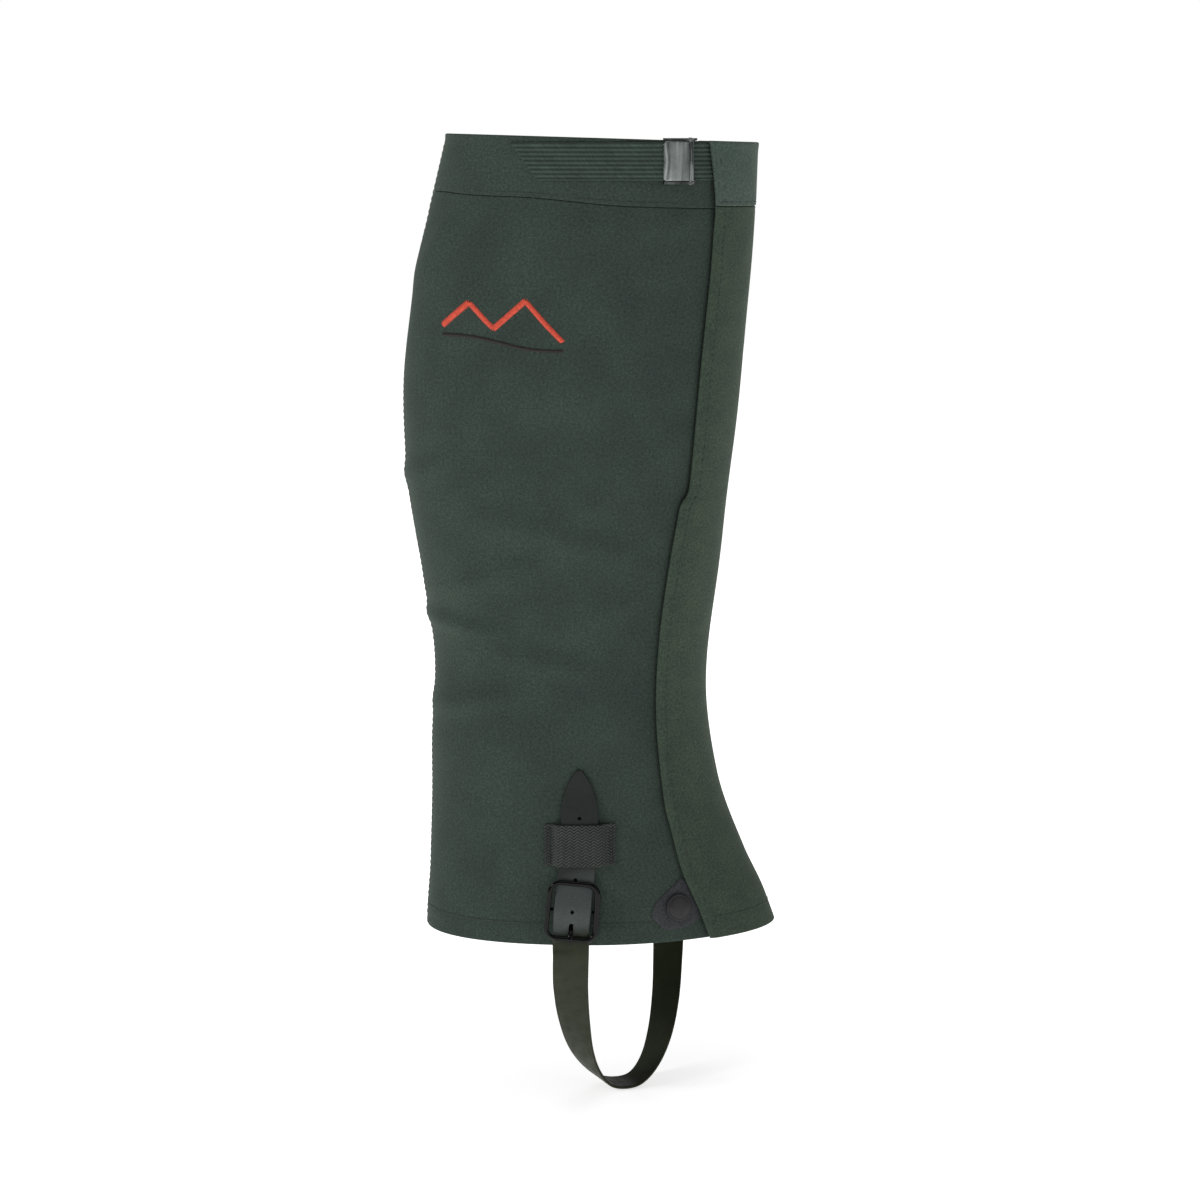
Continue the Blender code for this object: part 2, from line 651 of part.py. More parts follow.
def make_keeper():
    """The webbing keeper, sewn down at both ends and standing over the strap in the middle."""
    left, right, low, high = KEEPER
    thick, flat, raised = 1.2, 1.0, 4.2
    middle = instep_x((low + high) / 2)
    reach = INSTEP_WIDTH / 2
    xs = [left, left + 4, middle - reach - 3.6, middle - reach - 1.2, middle - 5, middle + 5]
    xs += [middle + reach + 1.2, middle + reach + 3.6, right - 4, right]
    heights = [flat, flat, flat + 0.9, raised - 0.1, raised, raised, raised - 0.1, flat + 0.9, flat, flat]
    outer, inner = [], []
    for z in steps(low, high, 3):
        turns = [turn_at(z, x) for x in xs]
        outer.append([skin(z, turn, h + thick / 2) for turn, h in zip(turns, heights)])
        inner.append([skin(z, turn, h - thick / 2) for turn, h in zip(turns, heights)])
    named("keeper", slab(outer, inner), "black_webbing")


def loop_route():
    """The instep loop's route from the lateral hem, under the boot's arch and up to the medial hem.

    Each entry is a point of the band's middle and the angle, in degrees, that its width is turned
    about the vertical from +X towards -Y.
    """
    start = skin(0, turn_at(0, INSTEP_FOOT_X), tail_height(0)) / MM
    end = skin(0, turn_at(0, MEDIAL_FOOT_X, True), 0.5 + INSTEP_THICK / 2) / MM
    return [
        (Vector((start.x, start.y, LOOP_TOP)), 0),
        (Vector((start.x - 0.2, start.y + 4, -14)), 4),
        (Vector((start.x - 0.2, start.y + 12, -28)), 12),
        (Vector((-14.6, -34, -50)), 26),
        (Vector((-10.6, -20.5, -72)), 44),
        (Vector((-3.5, -10.0, -88.0)), 60),
        (Vector((5.5, -4.0, -96.5)), 70),
        (Vector((19.0, 0.0, -96.5)), 70),
        (Vector((28.0, 5.0, -88.0)), 62),
        (Vector((34.5, 13.0, -73)), 50),
        (Vector((38.3, 25.0, -54)), 40),
        (Vector((39.8, 38.0, -34)), 33),
        (Vector((end.x, end.y - 3.5, -16)), 27),
        (Vector((end.x, end.y, LOOP_TOP)), 24),
    ]


def make_instep_loop():
    """The loop under the boot, and the end of the strap that is sewn to the medial panel."""
    route = loop_route()
    spots = []
    for i in range(len(route) - 1):
        (a, turn_a), (b, turn_b) = route[i], route[i + 1]
        before, after = route[max(i - 1, 0)][0], route[min(i + 2, len(route) - 1)][0]
        for t in (0, 1 / 3, 2 / 3) if i == SOLE_SPAN else (0, 0.5):
            point = a.lerp(b, t)
            if i != SOLE_SPAN:
                point += (t**3 - 2 * t**2 + t) * ((b - before) - (b - a) * 2) / 2
                point += (t**3 - t**2) * ((after - a) - (b - a) * 2) / 2
            spots.append((point, turn_a + (turn_b - turn_a) * t))
    spots.append(route[-1])
    centres = [point * MM for point, _ in spots]
    sides = [Vector((math.cos(math.radians(turn)), -math.sin(math.radians(turn)), 0)) for _, turn in spots]
    loop = ribbon("instep_strap_loop", "instep_rubber", centres, sides, INSTEP_WIDTH * MM, INSTEP_THICK * MM)
    middle = skin(0, turn_at(0, INSTEP_FOOT_X), tail_height(0))
    middle.z = (LOOP_TOP + 1) * MM
    move_origin(loop, middle)

    outer, inner = [], []
    for z in (1.5, 6, 14, 22, 30, 36):
        turns = [turn_at(z, MEDIAL_FOOT_X + INSTEP_WIDTH / 2 * side * 0.92, True) for side in (-1, -0.33, 0.33, 1)]
        outer.append([skin(z, turn, 0.5 + INSTEP_THICK) for turn in turns])
        inner.append([skin(z, turn, 0.5) for turn in turns])
    named("instep_strap_medial_end", slab(outer, inner), "instep_rubber")


# Press stud


def snap_frame():
    """The press stud's local frame: +Z straight out of the lateral panel."""
    ahead, outward, up, _ = frame_on_shell(*SNAP).transposed()
    frame = Matrix((ahead.xyz, up.xyz, outward.xyz)).transposed().to_4x4()
    frame.translation = skin(SNAP[1], turn_at(SNAP[1], SNAP[0]), 0)
    return frame


def make_snap(panel):
    """Cap, post and patch outside, socket inside, and the stud on its inner tab."""
    frame = snap_frame()
    cap_profile = [
        (0, -2.9), (POST_RADIUS, -2.9), (POST_RADIUS, 1.6), (CAP_RADIUS - 0.7, 1.6), (CAP_RADIUS, 2.1),
        (CAP_RADIUS - 0.2, 2.9), (CAP_RADIUS * 0.82, 3.6), (CAP_RADIUS * 0.5, 4.1), (0, 4.3),
    ]
    cap = turned("snap_cap", "snap_enamel", cap_profile)
    cap.data.transform(frame)
    inner, outer = SOCKET_RADII
    socket_profile = [(inner, -4.4), (outer - 0.5, -4.4), (outer, -3.9), (outer, -2.5), (inner, -2.5)]
    socket = turned("snap_socket", "steel", socket_profile, 20)
    socket.data.transform(frame)

    x, z = SNAP
    outline = [(-14.5, -4.5), (-12.5, 2.5), (-2.5, 11.8), (2.5, 15.5), (9.2, 5.0), (12.6, -7.0), (-5, -12.2)]
    patch = slab(*patch_grids(outline, x, z))
    patch_item = named("snap_patch", patch, "patch_fabric")
    for item in (panel, patch_item):
        hole = bar(frame, (0, 0, -3.4), (0, 0, 3.4), POST_RADIUS + 0.35, corners=12)
        combine(item, [hole], "DIFFERENCE")

    near, far = TAB_DEPTH
    rows = steps(z - 10, z + 10, 4)
    tab_grid = lambda depth: [
        [skin(row, turn, -depth) for turn in steps(turn_at(z, x - 9), TAB_TURNS[0], 8)] for row in rows
    ]
    tab = named("snap_tab", slab(tab_grid(near), tab_grid(far)), "black_webbing")
    base, flange = -near - 2.0, -near - 1.65
    stud_profile = [
        (0, base), (2.6, base), (2.6, flange), (1.3, flange), (1.3, -3.9),
        (STUD_RADIUS, -3.7), (STUD_RADIUS, -3.2), (1.2, -2.95), (0, -2.95),
    ]
    stud = turned("snap_stud", "steel", stud_profile, 16)
    stud.data.transform(frame)
    hole = bar(frame, (0, 0, -near - 2.2), (0, 0, -near + 0.6), 1.3 + 0.3, corners=12)
    combine(tab, [hole], "DIFFERENCE")
    hinge = skin(z, TAB_TURNS[1], -(near + far) / 2)
    move_origin(tab, hinge)
    move_origin(stud, hinge)


def patch_grids(outline, x, z):
    """The patch as two grids of points on the panel: rows between its left and right edges."""
    low = min(p[1] for p in outline)
    high = max(p[1] for p in outline)
    outer, inner = [], []
    for row in steps(low, high, 10):
        level = min(max(row, low + 0.05), high - 0.05)
        crossings = []
        for (x0, z0), (x1, z1) in zip(outline, outline[1:] + outline[:1]):
            if (z0 - level) * (z1 - level) <= 0 and z0 != z1:
                crossings.append(x0 + (x1 - x0) * (level - z0) / (z1 - z0))
        left, right = min(crossings), max(crossings)
        if right - left < 1.2:
            left, right = (left + right) / 2 - 0.6, (left + right) / 2 + 0.6
        turns = [turn_at(z + row, x + px) for px in steps(left, right, 6)]
        outer.append([skin(z + row, turn, 1.1) for turn in turns])
        inner.append([skin(z + row, turn, 0.3) for turn in turns])
    return outer, inner


# Lace hook


def make_lace_hook():
    """A webbing tab sewn inside the front, and the hook that swivels in it."""
    frame = Matrix.Translation(Vector((HOOK_X, 0, HOOK_Z)) * MM)
    place = lambda x, y, z: frame @ (Vector((x, y, z)) * MM)
    across = Vector((0, 1, 0))
    wrap = 1.0 + 0.35 + 0.5
    middle, half = section(HOOK_Z + 10)
    sewn = middle + half - PANEL - 4.8 - HOOK_X
    path = [(sewn - 2.4, 15), (sewn - 0.6, 9), (4.2, 4.2), (wrap, 0.6), (wrap * 0.7, -wrap * 0.7), (0, -wrap)]
    path += [(-wrap * 0.7, -wrap * 0.7), (-wrap, 0), (-wrap * 0.6, 2.2), (0.4, 5.2)]
    path += [(sewn - 3.4, 9), (sewn - 4.6, 13)]
    centres = [place(x, 0, z) for x, z in path]
    ribbon("lace_hook_tab", "black_webbing", centres, [across] * len(centres), 7 * MM, 1.0 * MM)
    plate_path = [(0, 1.0), (0, -9), (-0.3, -13), (-1.8, -16.2), (-4.6, -17.2), (-7.0, -15.4), (-7.6, -12.6)]
    centres = [place(x, 0, z) for x, z in plate_path]
    hook = ribbon("lace_hook", "steel", centres, [across] * len(centres), 12 * MM, 1.2 * MM)
    top = bar(frame, (0, -6, 0), (0, 6, 0), 1.0, corners=12)
    combine(hook, [top], "UNION")
    slot = block("slot", "steel", (-3, -4.2, -5.0), (3, 4.2, -1.0), frame)
    narrow = [block("side", "steel", (-12, low, -20), (3, low + 6.0, -9.5), frame) for low in (-9.0, 3.0)]
    combine(hook, [slot] + narrow, "DIFFERENCE")
    move_origin(hook, place(0, 0, 0))


# Embroidery


def make_motif():
    """A generic embroidered badge: two peaks, and a line under them."""

    def stitched(name, slot, points, half):
        outer, inner = [], []
        last = len(points) - 1
        for i, (x, z) in enumerate(points):
            (x0, z0), (x1, z1) = points[max(i - 1, 0)], points[min(i + 1, last)]
            length = math.hypot(x1 - x0, z1 - z0)
            nx, nz = -(z1 - z0) / length, (x1 - x0) / length
            spots = [(x + nx * s * half, z + nz * s * half) for s in (-1, 0, 1)]
            outer.append([skin(b, turn_at(b, a), 0.9) for a, b in spots])
            inner.append([skin(b, turn_at(b, a), 0.3) for a, b in spots])
        named(name, slab(outer, inner), slot)

    slope = lambda x: 345.0 - 0.13 * (x + 85)
    peaks = [(-84, -3), (-78, 3), (-70, 11), (-62, 3), (-57, -1), (-51, 5), (-40, 16), (-29, 5), (-20, -3)]
    stitched("motif_peaks", "orange_thread", [(x, slope(x) + z) for x, z in peaks], 1.8)
    line = [(x, slope(x) - 8.2 + 1.2 * math.sin((x + 84) / 10)) for x in steps(-84, -20, 12)]
    stitched("motif_line", "brown_thread", line, 1.0)


def main():
    """Build the gaiter piece by piece."""
    clear_scene()
    panel = make_shell()
    make_closure()
    make_top_strap()
    make_cam_buckle()
    make_instep_tail()
    make_instep_buckle()
    make_buckle_tab()
    make_keeper()
    make_instep_loop()
    make_snap(panel)
    make_lace_hook()
    make_motif()


main()
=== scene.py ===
"""The looks of a tall hiking gaiter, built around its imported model.

Metres, +Z up the leg, +X towards the toe, -Y the outer (lateral) side of a right leg. Sizes inside
the classes are in millimetres; MM turns them into metres where a mesh is made.
"""
import logging
import math
from collections.abc import Callable, Sequence
from dataclasses import dataclass, field
from enum import Enum

import bpy
import numpy as np
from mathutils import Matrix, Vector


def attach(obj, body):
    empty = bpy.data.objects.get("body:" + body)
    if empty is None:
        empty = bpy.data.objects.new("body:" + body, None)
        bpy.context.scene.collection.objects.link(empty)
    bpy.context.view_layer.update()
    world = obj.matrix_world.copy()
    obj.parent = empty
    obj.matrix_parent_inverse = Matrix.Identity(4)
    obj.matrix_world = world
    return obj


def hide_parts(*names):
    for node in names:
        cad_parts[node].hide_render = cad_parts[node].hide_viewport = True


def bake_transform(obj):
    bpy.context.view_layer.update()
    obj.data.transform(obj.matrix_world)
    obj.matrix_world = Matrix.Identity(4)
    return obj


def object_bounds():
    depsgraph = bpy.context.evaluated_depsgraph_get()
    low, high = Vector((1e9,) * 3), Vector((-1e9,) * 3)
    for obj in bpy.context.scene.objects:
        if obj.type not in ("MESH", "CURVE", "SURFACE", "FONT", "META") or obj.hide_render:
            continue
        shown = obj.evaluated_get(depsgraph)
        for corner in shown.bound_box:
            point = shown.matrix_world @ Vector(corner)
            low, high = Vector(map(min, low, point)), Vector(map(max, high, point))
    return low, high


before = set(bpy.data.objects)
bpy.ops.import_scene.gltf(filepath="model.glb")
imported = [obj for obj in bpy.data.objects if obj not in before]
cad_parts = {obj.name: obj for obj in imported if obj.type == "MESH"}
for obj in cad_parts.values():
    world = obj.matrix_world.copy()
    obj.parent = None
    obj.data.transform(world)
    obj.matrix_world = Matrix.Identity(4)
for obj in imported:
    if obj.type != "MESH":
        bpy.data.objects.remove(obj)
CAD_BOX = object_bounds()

MM = 0.001
ELASTIC_RIB = 2.3
TWILL_COLUMN = 2.2
TWILL_RISE = 0.75
Array = np.ndarray
Socket = bpy.types.NodeSocket

log = logging.getLogger("gaiter")


class Body(Enum):
    """The moving bodies of the gaiter."""

    SHELL = "shell"
    FLAP = "front_flap"
    LEVER = "cam_lever"
    LOOP = "instep_loop"
    PRONG = "buckle_prong"
    SNAP_TAB = "snap_tab"
    HOOK = "lace_hook"


class Side(Enum):
    """Which side of the leg a place is on."""

    LATERAL = 0
    MEDIAL = 1


# Finishes


def linear(colour: str) -> tuple[float, float, float, float]:
    """Turn an sRGB hex colour into linear RGBA.

    Args:
        colour: The colour as #rrggbb.

    Returns:
        The linear red, green, blue and an alpha of 1.
    """
    parts = [int(colour[i : i + 2], 16) / 255 for i in (1, 3, 5)]
    return (*[p / 12.92 if p <= 0.04045 else ((p + 0.055) / 1.055) ** 2.4 for p in parts], 1.0)


def per_metre(size: float) -> float:
    """The texture scale that gives a pattern this size, in millimetres."""
    return 1.0 / (size * MM)


def add_node(
    tree: bpy.types.NodeTree, kind: str, settings: dict, links: dict | None = None
) -> bpy.types.Node:
    """Add a node with its settings and links.

    Args:
        tree: The node tree it goes in.
        kind: Its Blender type.
        settings: Values of its properties, or of its inputs by name or number.
        links: Output sockets by the input, name or number, that they go to.

    Returns:
        The new node.
    """
    node = tree.nodes.new(kind)
    for key, value in settings.items():
        if isinstance(key, str) and hasattr(node, key):
            setattr(node, key, value)
        else:
            node.inputs[key].default_value = value
    for key, socket in (links or {}).items():
        tree.links.new(socket, node.inputs[key])
    return node


@dataclass(frozen=True)
class Finish:
    """What every finish has: a name, two close colours and a roughness.

    Attributes:
        name: The material and how its surface was made.
        colour: Its main colour.
        shade: The colour that it drifts to.
        roughness: Its middle roughness.
    """

    name: str
    colour: str
    shade: str
    roughness: float

    def made(self) -> bpy.types.Material:
        """The finish as a material, made on first use."""
        material = bpy.data.materials.get(self.name)
        if material is None:
            material = bpy.data.materials.new(self.name)
            material.use_nodes = True
            self.dress(material.node_tree, material.node_tree.nodes["Principled BSDF"])
        return material

    def dress(self, tree: bpy.types.NodeTree, shader: bpy.types.Node) -> None:
        """Build the finish's nodes.

        Args:
            tree: The material's node tree.
            shader: Its Principled shader.
        """
        raise NotImplementedError

    def noise(self, tree: bpy.types.NodeTree, place: Socket, size: float, detail: float = 2.0) -> Socket:
        """Soft blotches.

        Args:
            tree: The material's node tree.
            place: The coordinates, in metres.
            size: How big the blotches are, in millimetres.
            detail: How many finer layers they have.

        Returns:
            The blotches from 0 to 1.
        """
        settings = {"Scale": per_metre(size), "Detail": detail}
        return add_node(tree, "ShaderNodeTexNoise", settings, {"Vector": place}).outputs["Fac"]

    def drift(
        self, tree: bpy.types.NodeTree, amount: Socket, low: float = 0.35, high: float = 0.65
    ) -> Socket:
        """The colour where amount is low, and the shade where it is high."""
        ramp = add_node(tree, "ShaderNodeValToRGB", {}, {"Fac": amount})
        ramp.color_ramp.elements[0].position = low
        ramp.color_ramp.elements[1].position = high
        ramp.color_ramp.elements[0].color = linear(self.colour)
        ramp.color_ramp.elements[1].color = linear(self.shade)
        return ramp.outputs["Color"]

    def grade(self, tree: bpy.types.NodeTree, amount: Socket, low: float, high: float) -> Socket:
        """Spread an amount of 0.3 to 0.7 over a range of values."""
        settings = {"From Min": 0.3, "From Max": 0.7, "To Min": low, "To Max": high}
        return add_node(tree, "ShaderNodeMapRange", settings, {"Value": amount}).outputs["Result"]

    def tint(self, tree: bpy.types.NodeTree, colour: Socket, amount: Socket) -> Socket:
        """Lighten or darken a colour by an amount around 1."""
        links = {6: colour, 7: amount}
        settings = {"data_type": "RGBA", "blend_type": "MULTIPLY", 0: 1.0}
        return add_node(tree, "ShaderNodeMix", settings, links).outputs[2]

    def bump(self, tree: bpy.types.NodeTree, shader: bpy.types.Node, height: Socket, depth: float) -> None:
        """Raise the surface.

        Args:
            tree: The material's node tree.
            shader: The shader it is for.
            height: The height from 0 to 1.
            depth: The height of 1, in millimetres.
        """
        settings = {"Strength": 1.0, "Distance": depth * MM}
        node = add_node(tree, "ShaderNodeBump", settings, {"Height": height})
        tree.links.new(node.outputs["Normal"], shader.inputs["Normal"])


@dataclass(frozen=True)
class Softshell(Finish):
    """Polyester soft-shell, woven and then brushed: it looks matt and felted, with a pale bloom at the edges.

    Attributes:
        blotch: Size of the clouds that brushing leaves, in millimetres.
        tuft: Size of the raised tufts, in millimetres.
        nap: Height of the nap, in millimetres.
    """

    blotch: float = 26.0
    tuft: float = 1.6
    nap: float = 0.22

    def dress(self, tree: bpy.types.NodeTree, shader: bpy.types.Node) -> None:
        """Build clouds, a tufted nap and the thread grain."""
        place = add_node(tree, "ShaderNodeTexCoord", {}).outputs["UV"]
        clouds = self.noise(tree, place, self.blotch)
        tufts = self.noise(tree, place, self.tuft, 3.0)
        # The threads are 0.3 mm apart, too fine to show, so the grain is drawn at 1.1 mm.
        stretched = add_node(tree, "ShaderNodeMapping", {"Scale": (1.0, 2.2, 1.0)}, {"Vector": place})
        grain = self.noise(tree, stretched.outputs["Vector"], 1.1, 2.0)
        colour = self.tint(tree, self.drift(tree, clouds), self.grade(tree, tufts, 0.76, 1.22))
        colour = self.tint(tree, colour, self.grade(tree, grain, 0.66, 1.32))
        tree.links.new(colour, shader.inputs["Base Color"])
        shader.inputs["Roughness"].default_value = self.roughness
        shader.inputs["Specular IOR Level"].default_value = 0.25
        shader.inputs["Sheen Weight"].default_value = 0.14
        shader.inputs["Sheen Roughness"].default_value = 0.45
        shader.inputs["Sheen Tint"].default_value = linear("#b9c8b4")
        height = add_node(tree, "ShaderNodeMath", {"operation": "ADD"}, {0: tufts, 1: grain}).outputs[0]
        self.bump(tree, shader, height, self.nap)


@dataclass(frozen=True)
class Webbing(Finish):
    """Nylon or polyester webbing, woven from shiny yarn: each rib is painted with a thin highlight in its
    colour, and the valleys between with painted shade.

    Attributes:
        yarn: Thickness of a yarn, in millimetres.
        rib: Distance between two lengthwise ribs, in millimetres; 0 leaves them out.
        twill: Width of a column of twill, in millimetres; 0 leaves it out.
        depth: How much painted shade darkens the valleys between the ribs.
        painted_crest_highlight: How much painted highlight lightens the ribs.
        gloss: How strongly the yarn shines, as the shader's specular level.
        stretch: How much longer the flecks are along the band than across it.
    """

    yarn: float = 0.8
    rib: float = 0.0
    twill: float = 0.0
    depth: float = 0.4
    painted_crest_highlight: float = 0.5
    gloss: float = 0.4
    stretch: float = 5.0

    def dress(self, tree: bpy.types.NodeTree, shader: bpy.types.Node) -> None:
        """Build yarn flecks along the band, slow changes of tone, and painted highlights on the ribs with
        painted shade between them.
        """
        place = add_node(tree, "ShaderNodeTexCoord", {}).outputs["UV"]
        along = add_node(
            tree, "ShaderNodeMapping", {"Scale": (1.0, 1 / self.stretch, 1.0)}, {"Vector": place}
        )
        flecks = self.noise(tree, along.outputs["Vector"], self.yarn, 2.0)
        clouds = self.noise(tree, place, 14.0)
        colour = self.tint(tree, self.drift(tree, clouds), self.grade(tree, flecks, 0.75, 1.3))
        # The rib crests are painted lighter and the valleys darker: painted highlight and painted shade in
        # the colour.
        if self.rib or self.twill:
            crest = self.crests(tree, place)
            settings = {"From Min": -1.0, "From Max": 1.0, "To Min": 1 - self.depth, "To Max": 1 + self.painted_crest_highlight}
            shown = add_node(tree, "ShaderNodeMapRange", settings, {"Value": crest}).outputs["Result"]
            colour = self.tint(tree, colour, shown)
        tree.links.new(colour, shader.inputs["Base Color"])
        tree.links.new(
            self.grade(tree, flecks, self.roughness - 0.08, self.roughness + 0.08),
            shader.inputs["Roughness"],
        )
        shader.inputs["Specular IOR Level"].default_value = self.gloss
        shader.inputs["Sheen Weight"].default_value = 0.04
        self.bump(tree, shader, flecks, 0.12)

    def crests(self, tree: bpy.types.NodeTree, place: Socket) -> Socket:
        """Where the woven ribs are high, from -1 to 1, in step with the band's own relief."""
        parts = add_node(tree, "ShaderNodeSeparateXYZ", {}, {0: place}).outputs
        rise = 2 * math.pi / ((self.rib or self.twill * TWILL_RISE) * MM)
        phase = add_node(tree, "ShaderNodeMath", {"operation": "MULTIPLY", 1: rise}, {0: parts[1]}).outputs[0]
        if self.twill:
            settings = {"operation": "PINGPONG", 1: self.twill * MM}
            fold = add_node(tree, "ShaderNodeMath", settings, {0: parts[0]}).outputs[0]
            settings = {"operation": "MULTIPLY", 1: -2 * math.pi / (self.twill * MM)}
            slant = add_node(tree, "ShaderNodeMath", settings, {0: fold}).outputs[0]
            phase = add_node(tree, "ShaderNodeMath", {"operation": "ADD"}, {0: phase, 1: slant}).outputs[0]
        return add_node(tree, "ShaderNodeMath", {"operation": "COSINE"}, {0: phase}).outputs[0]


@dataclass(frozen=True)
class CoatedStrap(Finish):
    """Nylon webbing coated with PVC and calendered smooth: satin, with a painted highlight where it bends
    through the buckle, dark at its tip.

    Attributes:
        rubbed_and_highlight: Colour where it bends through the buckle, a painted highlight.
        handled: Colour of the handled end.
        hem: How far along the strap the buckle starts, in millimetres.
        buckle: Length of the strap in the buckle.
    """

    rubbed_and_highlight: str = "#434948"
    handled: str = "#1e2320"
    hem: float = 287.0
    buckle: float = 32.0

    def dress(self, tree: bpy.types.NodeTree, shader: bpy.types.Node) -> None:
        """Build the change from the plain strap through a painted highlight in the buckle to its handled end,
        with grain and scuffs.
        """
        place = add_node(tree, "ShaderNodeTexCoord", {}).outputs["UV"]
        along = add_node(tree, "ShaderNodeSeparateXYZ", {}, {0: place}).outputs[1]
        colour = self.drift(tree, self.noise(tree, place, 16.0, 3.0))
        # The stretch in the buckle is painted lighter: a painted highlight where the strap bends toward the
        # light.
        for start, shade in ((self.hem, self.rubbed_and_highlight), (self.hem + self.buckle, self.handled)):
            settings = {"From Min": start * MM, "From Max": (start + 9) * MM}
            share = add_node(tree, "ShaderNodeMapRange", settings, {"Value": along}).outputs["Result"]
            links = {0: share, 6: colour}
            colour = add_node(
                tree, "ShaderNodeMix", {"data_type": "RGBA", 7: linear(shade)}, links
            ).outputs[2]
        grain = self.noise(tree, place, 0.9, 2.0)
        colour = self.tint(tree, colour, self.grade(tree, grain, 0.84, 1.16))
        tree.links.new(colour, shader.inputs["Base Color"])
        shader.inputs["Specular IOR Level"].default_value = 0.25
        scuffs = self.noise(tree, place, 7.0, 4.0)
        tree.links.new(
            self.grade(tree, scuffs, self.roughness - 0.1, self.roughness + 0.12),
            shader.inputs["Roughness"],
        )
        self.bump(tree, shader, grain, 0.06)


@dataclass(frozen=True)
class PlatedSteel(Finish):
    """Pressed steel, plated: a bright metal with fine brushed lines that stretch its highlights, and painted
    highlight streaks along Z.

    Attributes:
        brushed: How much longer the lines are along Z than across it.
    """

    brushed: float = 12.0

    def dress(self, tree: bpy.types.NodeTree, shader: bpy.types.Node) -> None:
        """Build brushed lines, slight tarnish and lengthwise painted highlight streaks."""
        place = add_node(tree, "ShaderNodeTexCoord", {}).outputs["Object"]
        lines = add_node(
            tree, "ShaderNodeMapping", {"Scale": (1.0, 1.0, 1 / self.brushed)}, {"Vector": place}
        )
        brushed = self.noise(tree, lines.outputs["Vector"], 0.5, 2.0)
        tarnish = self.noise(tree, place, 5.0, 3.0)
        # Long streaks along Z are painted lighter and darker into the colour: painted highlights and painted
        # shade standing for vertical reflections.
        painted_highlight_streaks = self.noise(tree, lines.outputs["Vector"], 3.2, 1.0)
        colour = self.tint(tree, self.drift(tree, tarnish), self.grade(tree, painted_highlight_streaks, 0.6, 1.45))
        tree.links.new(colour, shader.inputs["Base Color"])
        tree.links.new(
            self.grade(tree, brushed, self.roughness - 0.04, self.roughness + 0.06),
            shader.inputs["Roughness"],
        )
        shader.inputs["Metallic"].default_value = 1.0
        self.bump(tree, shader, brushed, 0.003)


@dataclass(frozen=True)
class Enamel(Finish):
    """Baked enamel over die-cast zinc: a hard glossy skin with a faint orange peel.

    Attributes:
        coat: Weight of the clear top coat.
        gloss: How strongly it mirrors, as the shader's specular level.
        peel: Depth of the orange peel, in millimetres.
    """

    coat: float = 0.6
    gloss: float = 0.2
    peel: float = 0.015

    def dress(self, tree: bpy.types.NodeTree, shader: bpy.types.Node) -> None:
        """Build the orange peel and worn patches."""
        place = add_node(tree, "ShaderNodeTexCoord", {}).outputs["Object"]
        rubbed_and_highlight = self.noise(tree, place, 4.0, 4.0)
        tree.links.new(self.drift(tree, rubbed_and_highlight, 0.45, 0.75), shader.inputs["Base Color"])
        tree.links.new(
            self.grade(tree, rubbed_and_highlight, self.roughness, self.roughness + 0.12), shader.inputs["Roughness"]
        )
        shader.inputs["Coat Weight"].default_value = self.coat
        shader.inputs["Specular IOR Level"].default_value = self.gloss
        shader.inputs["Coat Roughness"].default_value = 0.12
        self.bump(tree, shader, self.noise(tree, place, 1.2), self.peel)


@dataclass(frozen=True)
class Thread(Finish):
    """Rayon or polyester thread, twisted: silky, lighter on top of each strand."""

    def dress(self, tree: bpy.types.NodeTree, shader: bpy.types.Node) -> None:
        """Build a change of shade from strand to strand, and their twist."""
        place = add_node(tree, "ShaderNodeTexCoord", {}).outputs["Object"]
        strands = self.noise(tree, place, 1.4, 3.0)
        tree.links.new(self.drift(tree, strands), shader.inputs["Base Color"])
        shader.inputs["Roughness"].default_value = self.roughness
        shader.inputs["Sheen Weight"].default_value = 0.15
        self.bump(tree, shader, self.noise(tree, place, 0.35), 0.05)


@dataclass(frozen=True)
class Floor(Finish):
    """Matt white background paper, lit from behind away from the piece: it only takes a soft shadow.

    Attributes:
        near: Distance where the light behind the paper starts, in metres.
        far: Distance where the paper has burnt out to white.
        glow: Strength of the light behind the paper under the piece.
    """

    near: float = 0.10
    far: float = 0.40
    glow: float = 0.66

    def dress(self, tree: bpy.types.NodeTree, shader: bpy.types.Node) -> None:
        """Build the paper's faint tooth and the light behind it."""
        place = add_node(tree, "ShaderNodeTexCoord", {}).outputs["Object"]
        away = add_node(tree, "ShaderNodeVectorMath", {"operation": "LENGTH"}, {0: place}).outputs["Value"]
        settings = {"From Min": self.near, "From Max": self.far, "To Min": self.glow}
        glow = add_node(tree, "ShaderNodeMapRange", settings, {"Value": away}).outputs["Result"]
        tree.links.new(glow, shader.inputs["Emission Strength"])
        shader.inputs["Emission Color"].default_value = (1, 1, 1, 1)
        tree.links.new(self.drift(tree, self.noise(tree, place, 400.0)), shader.inputs["Base Color"])
        shader.inputs["Roughness"].default_value = self.roughness


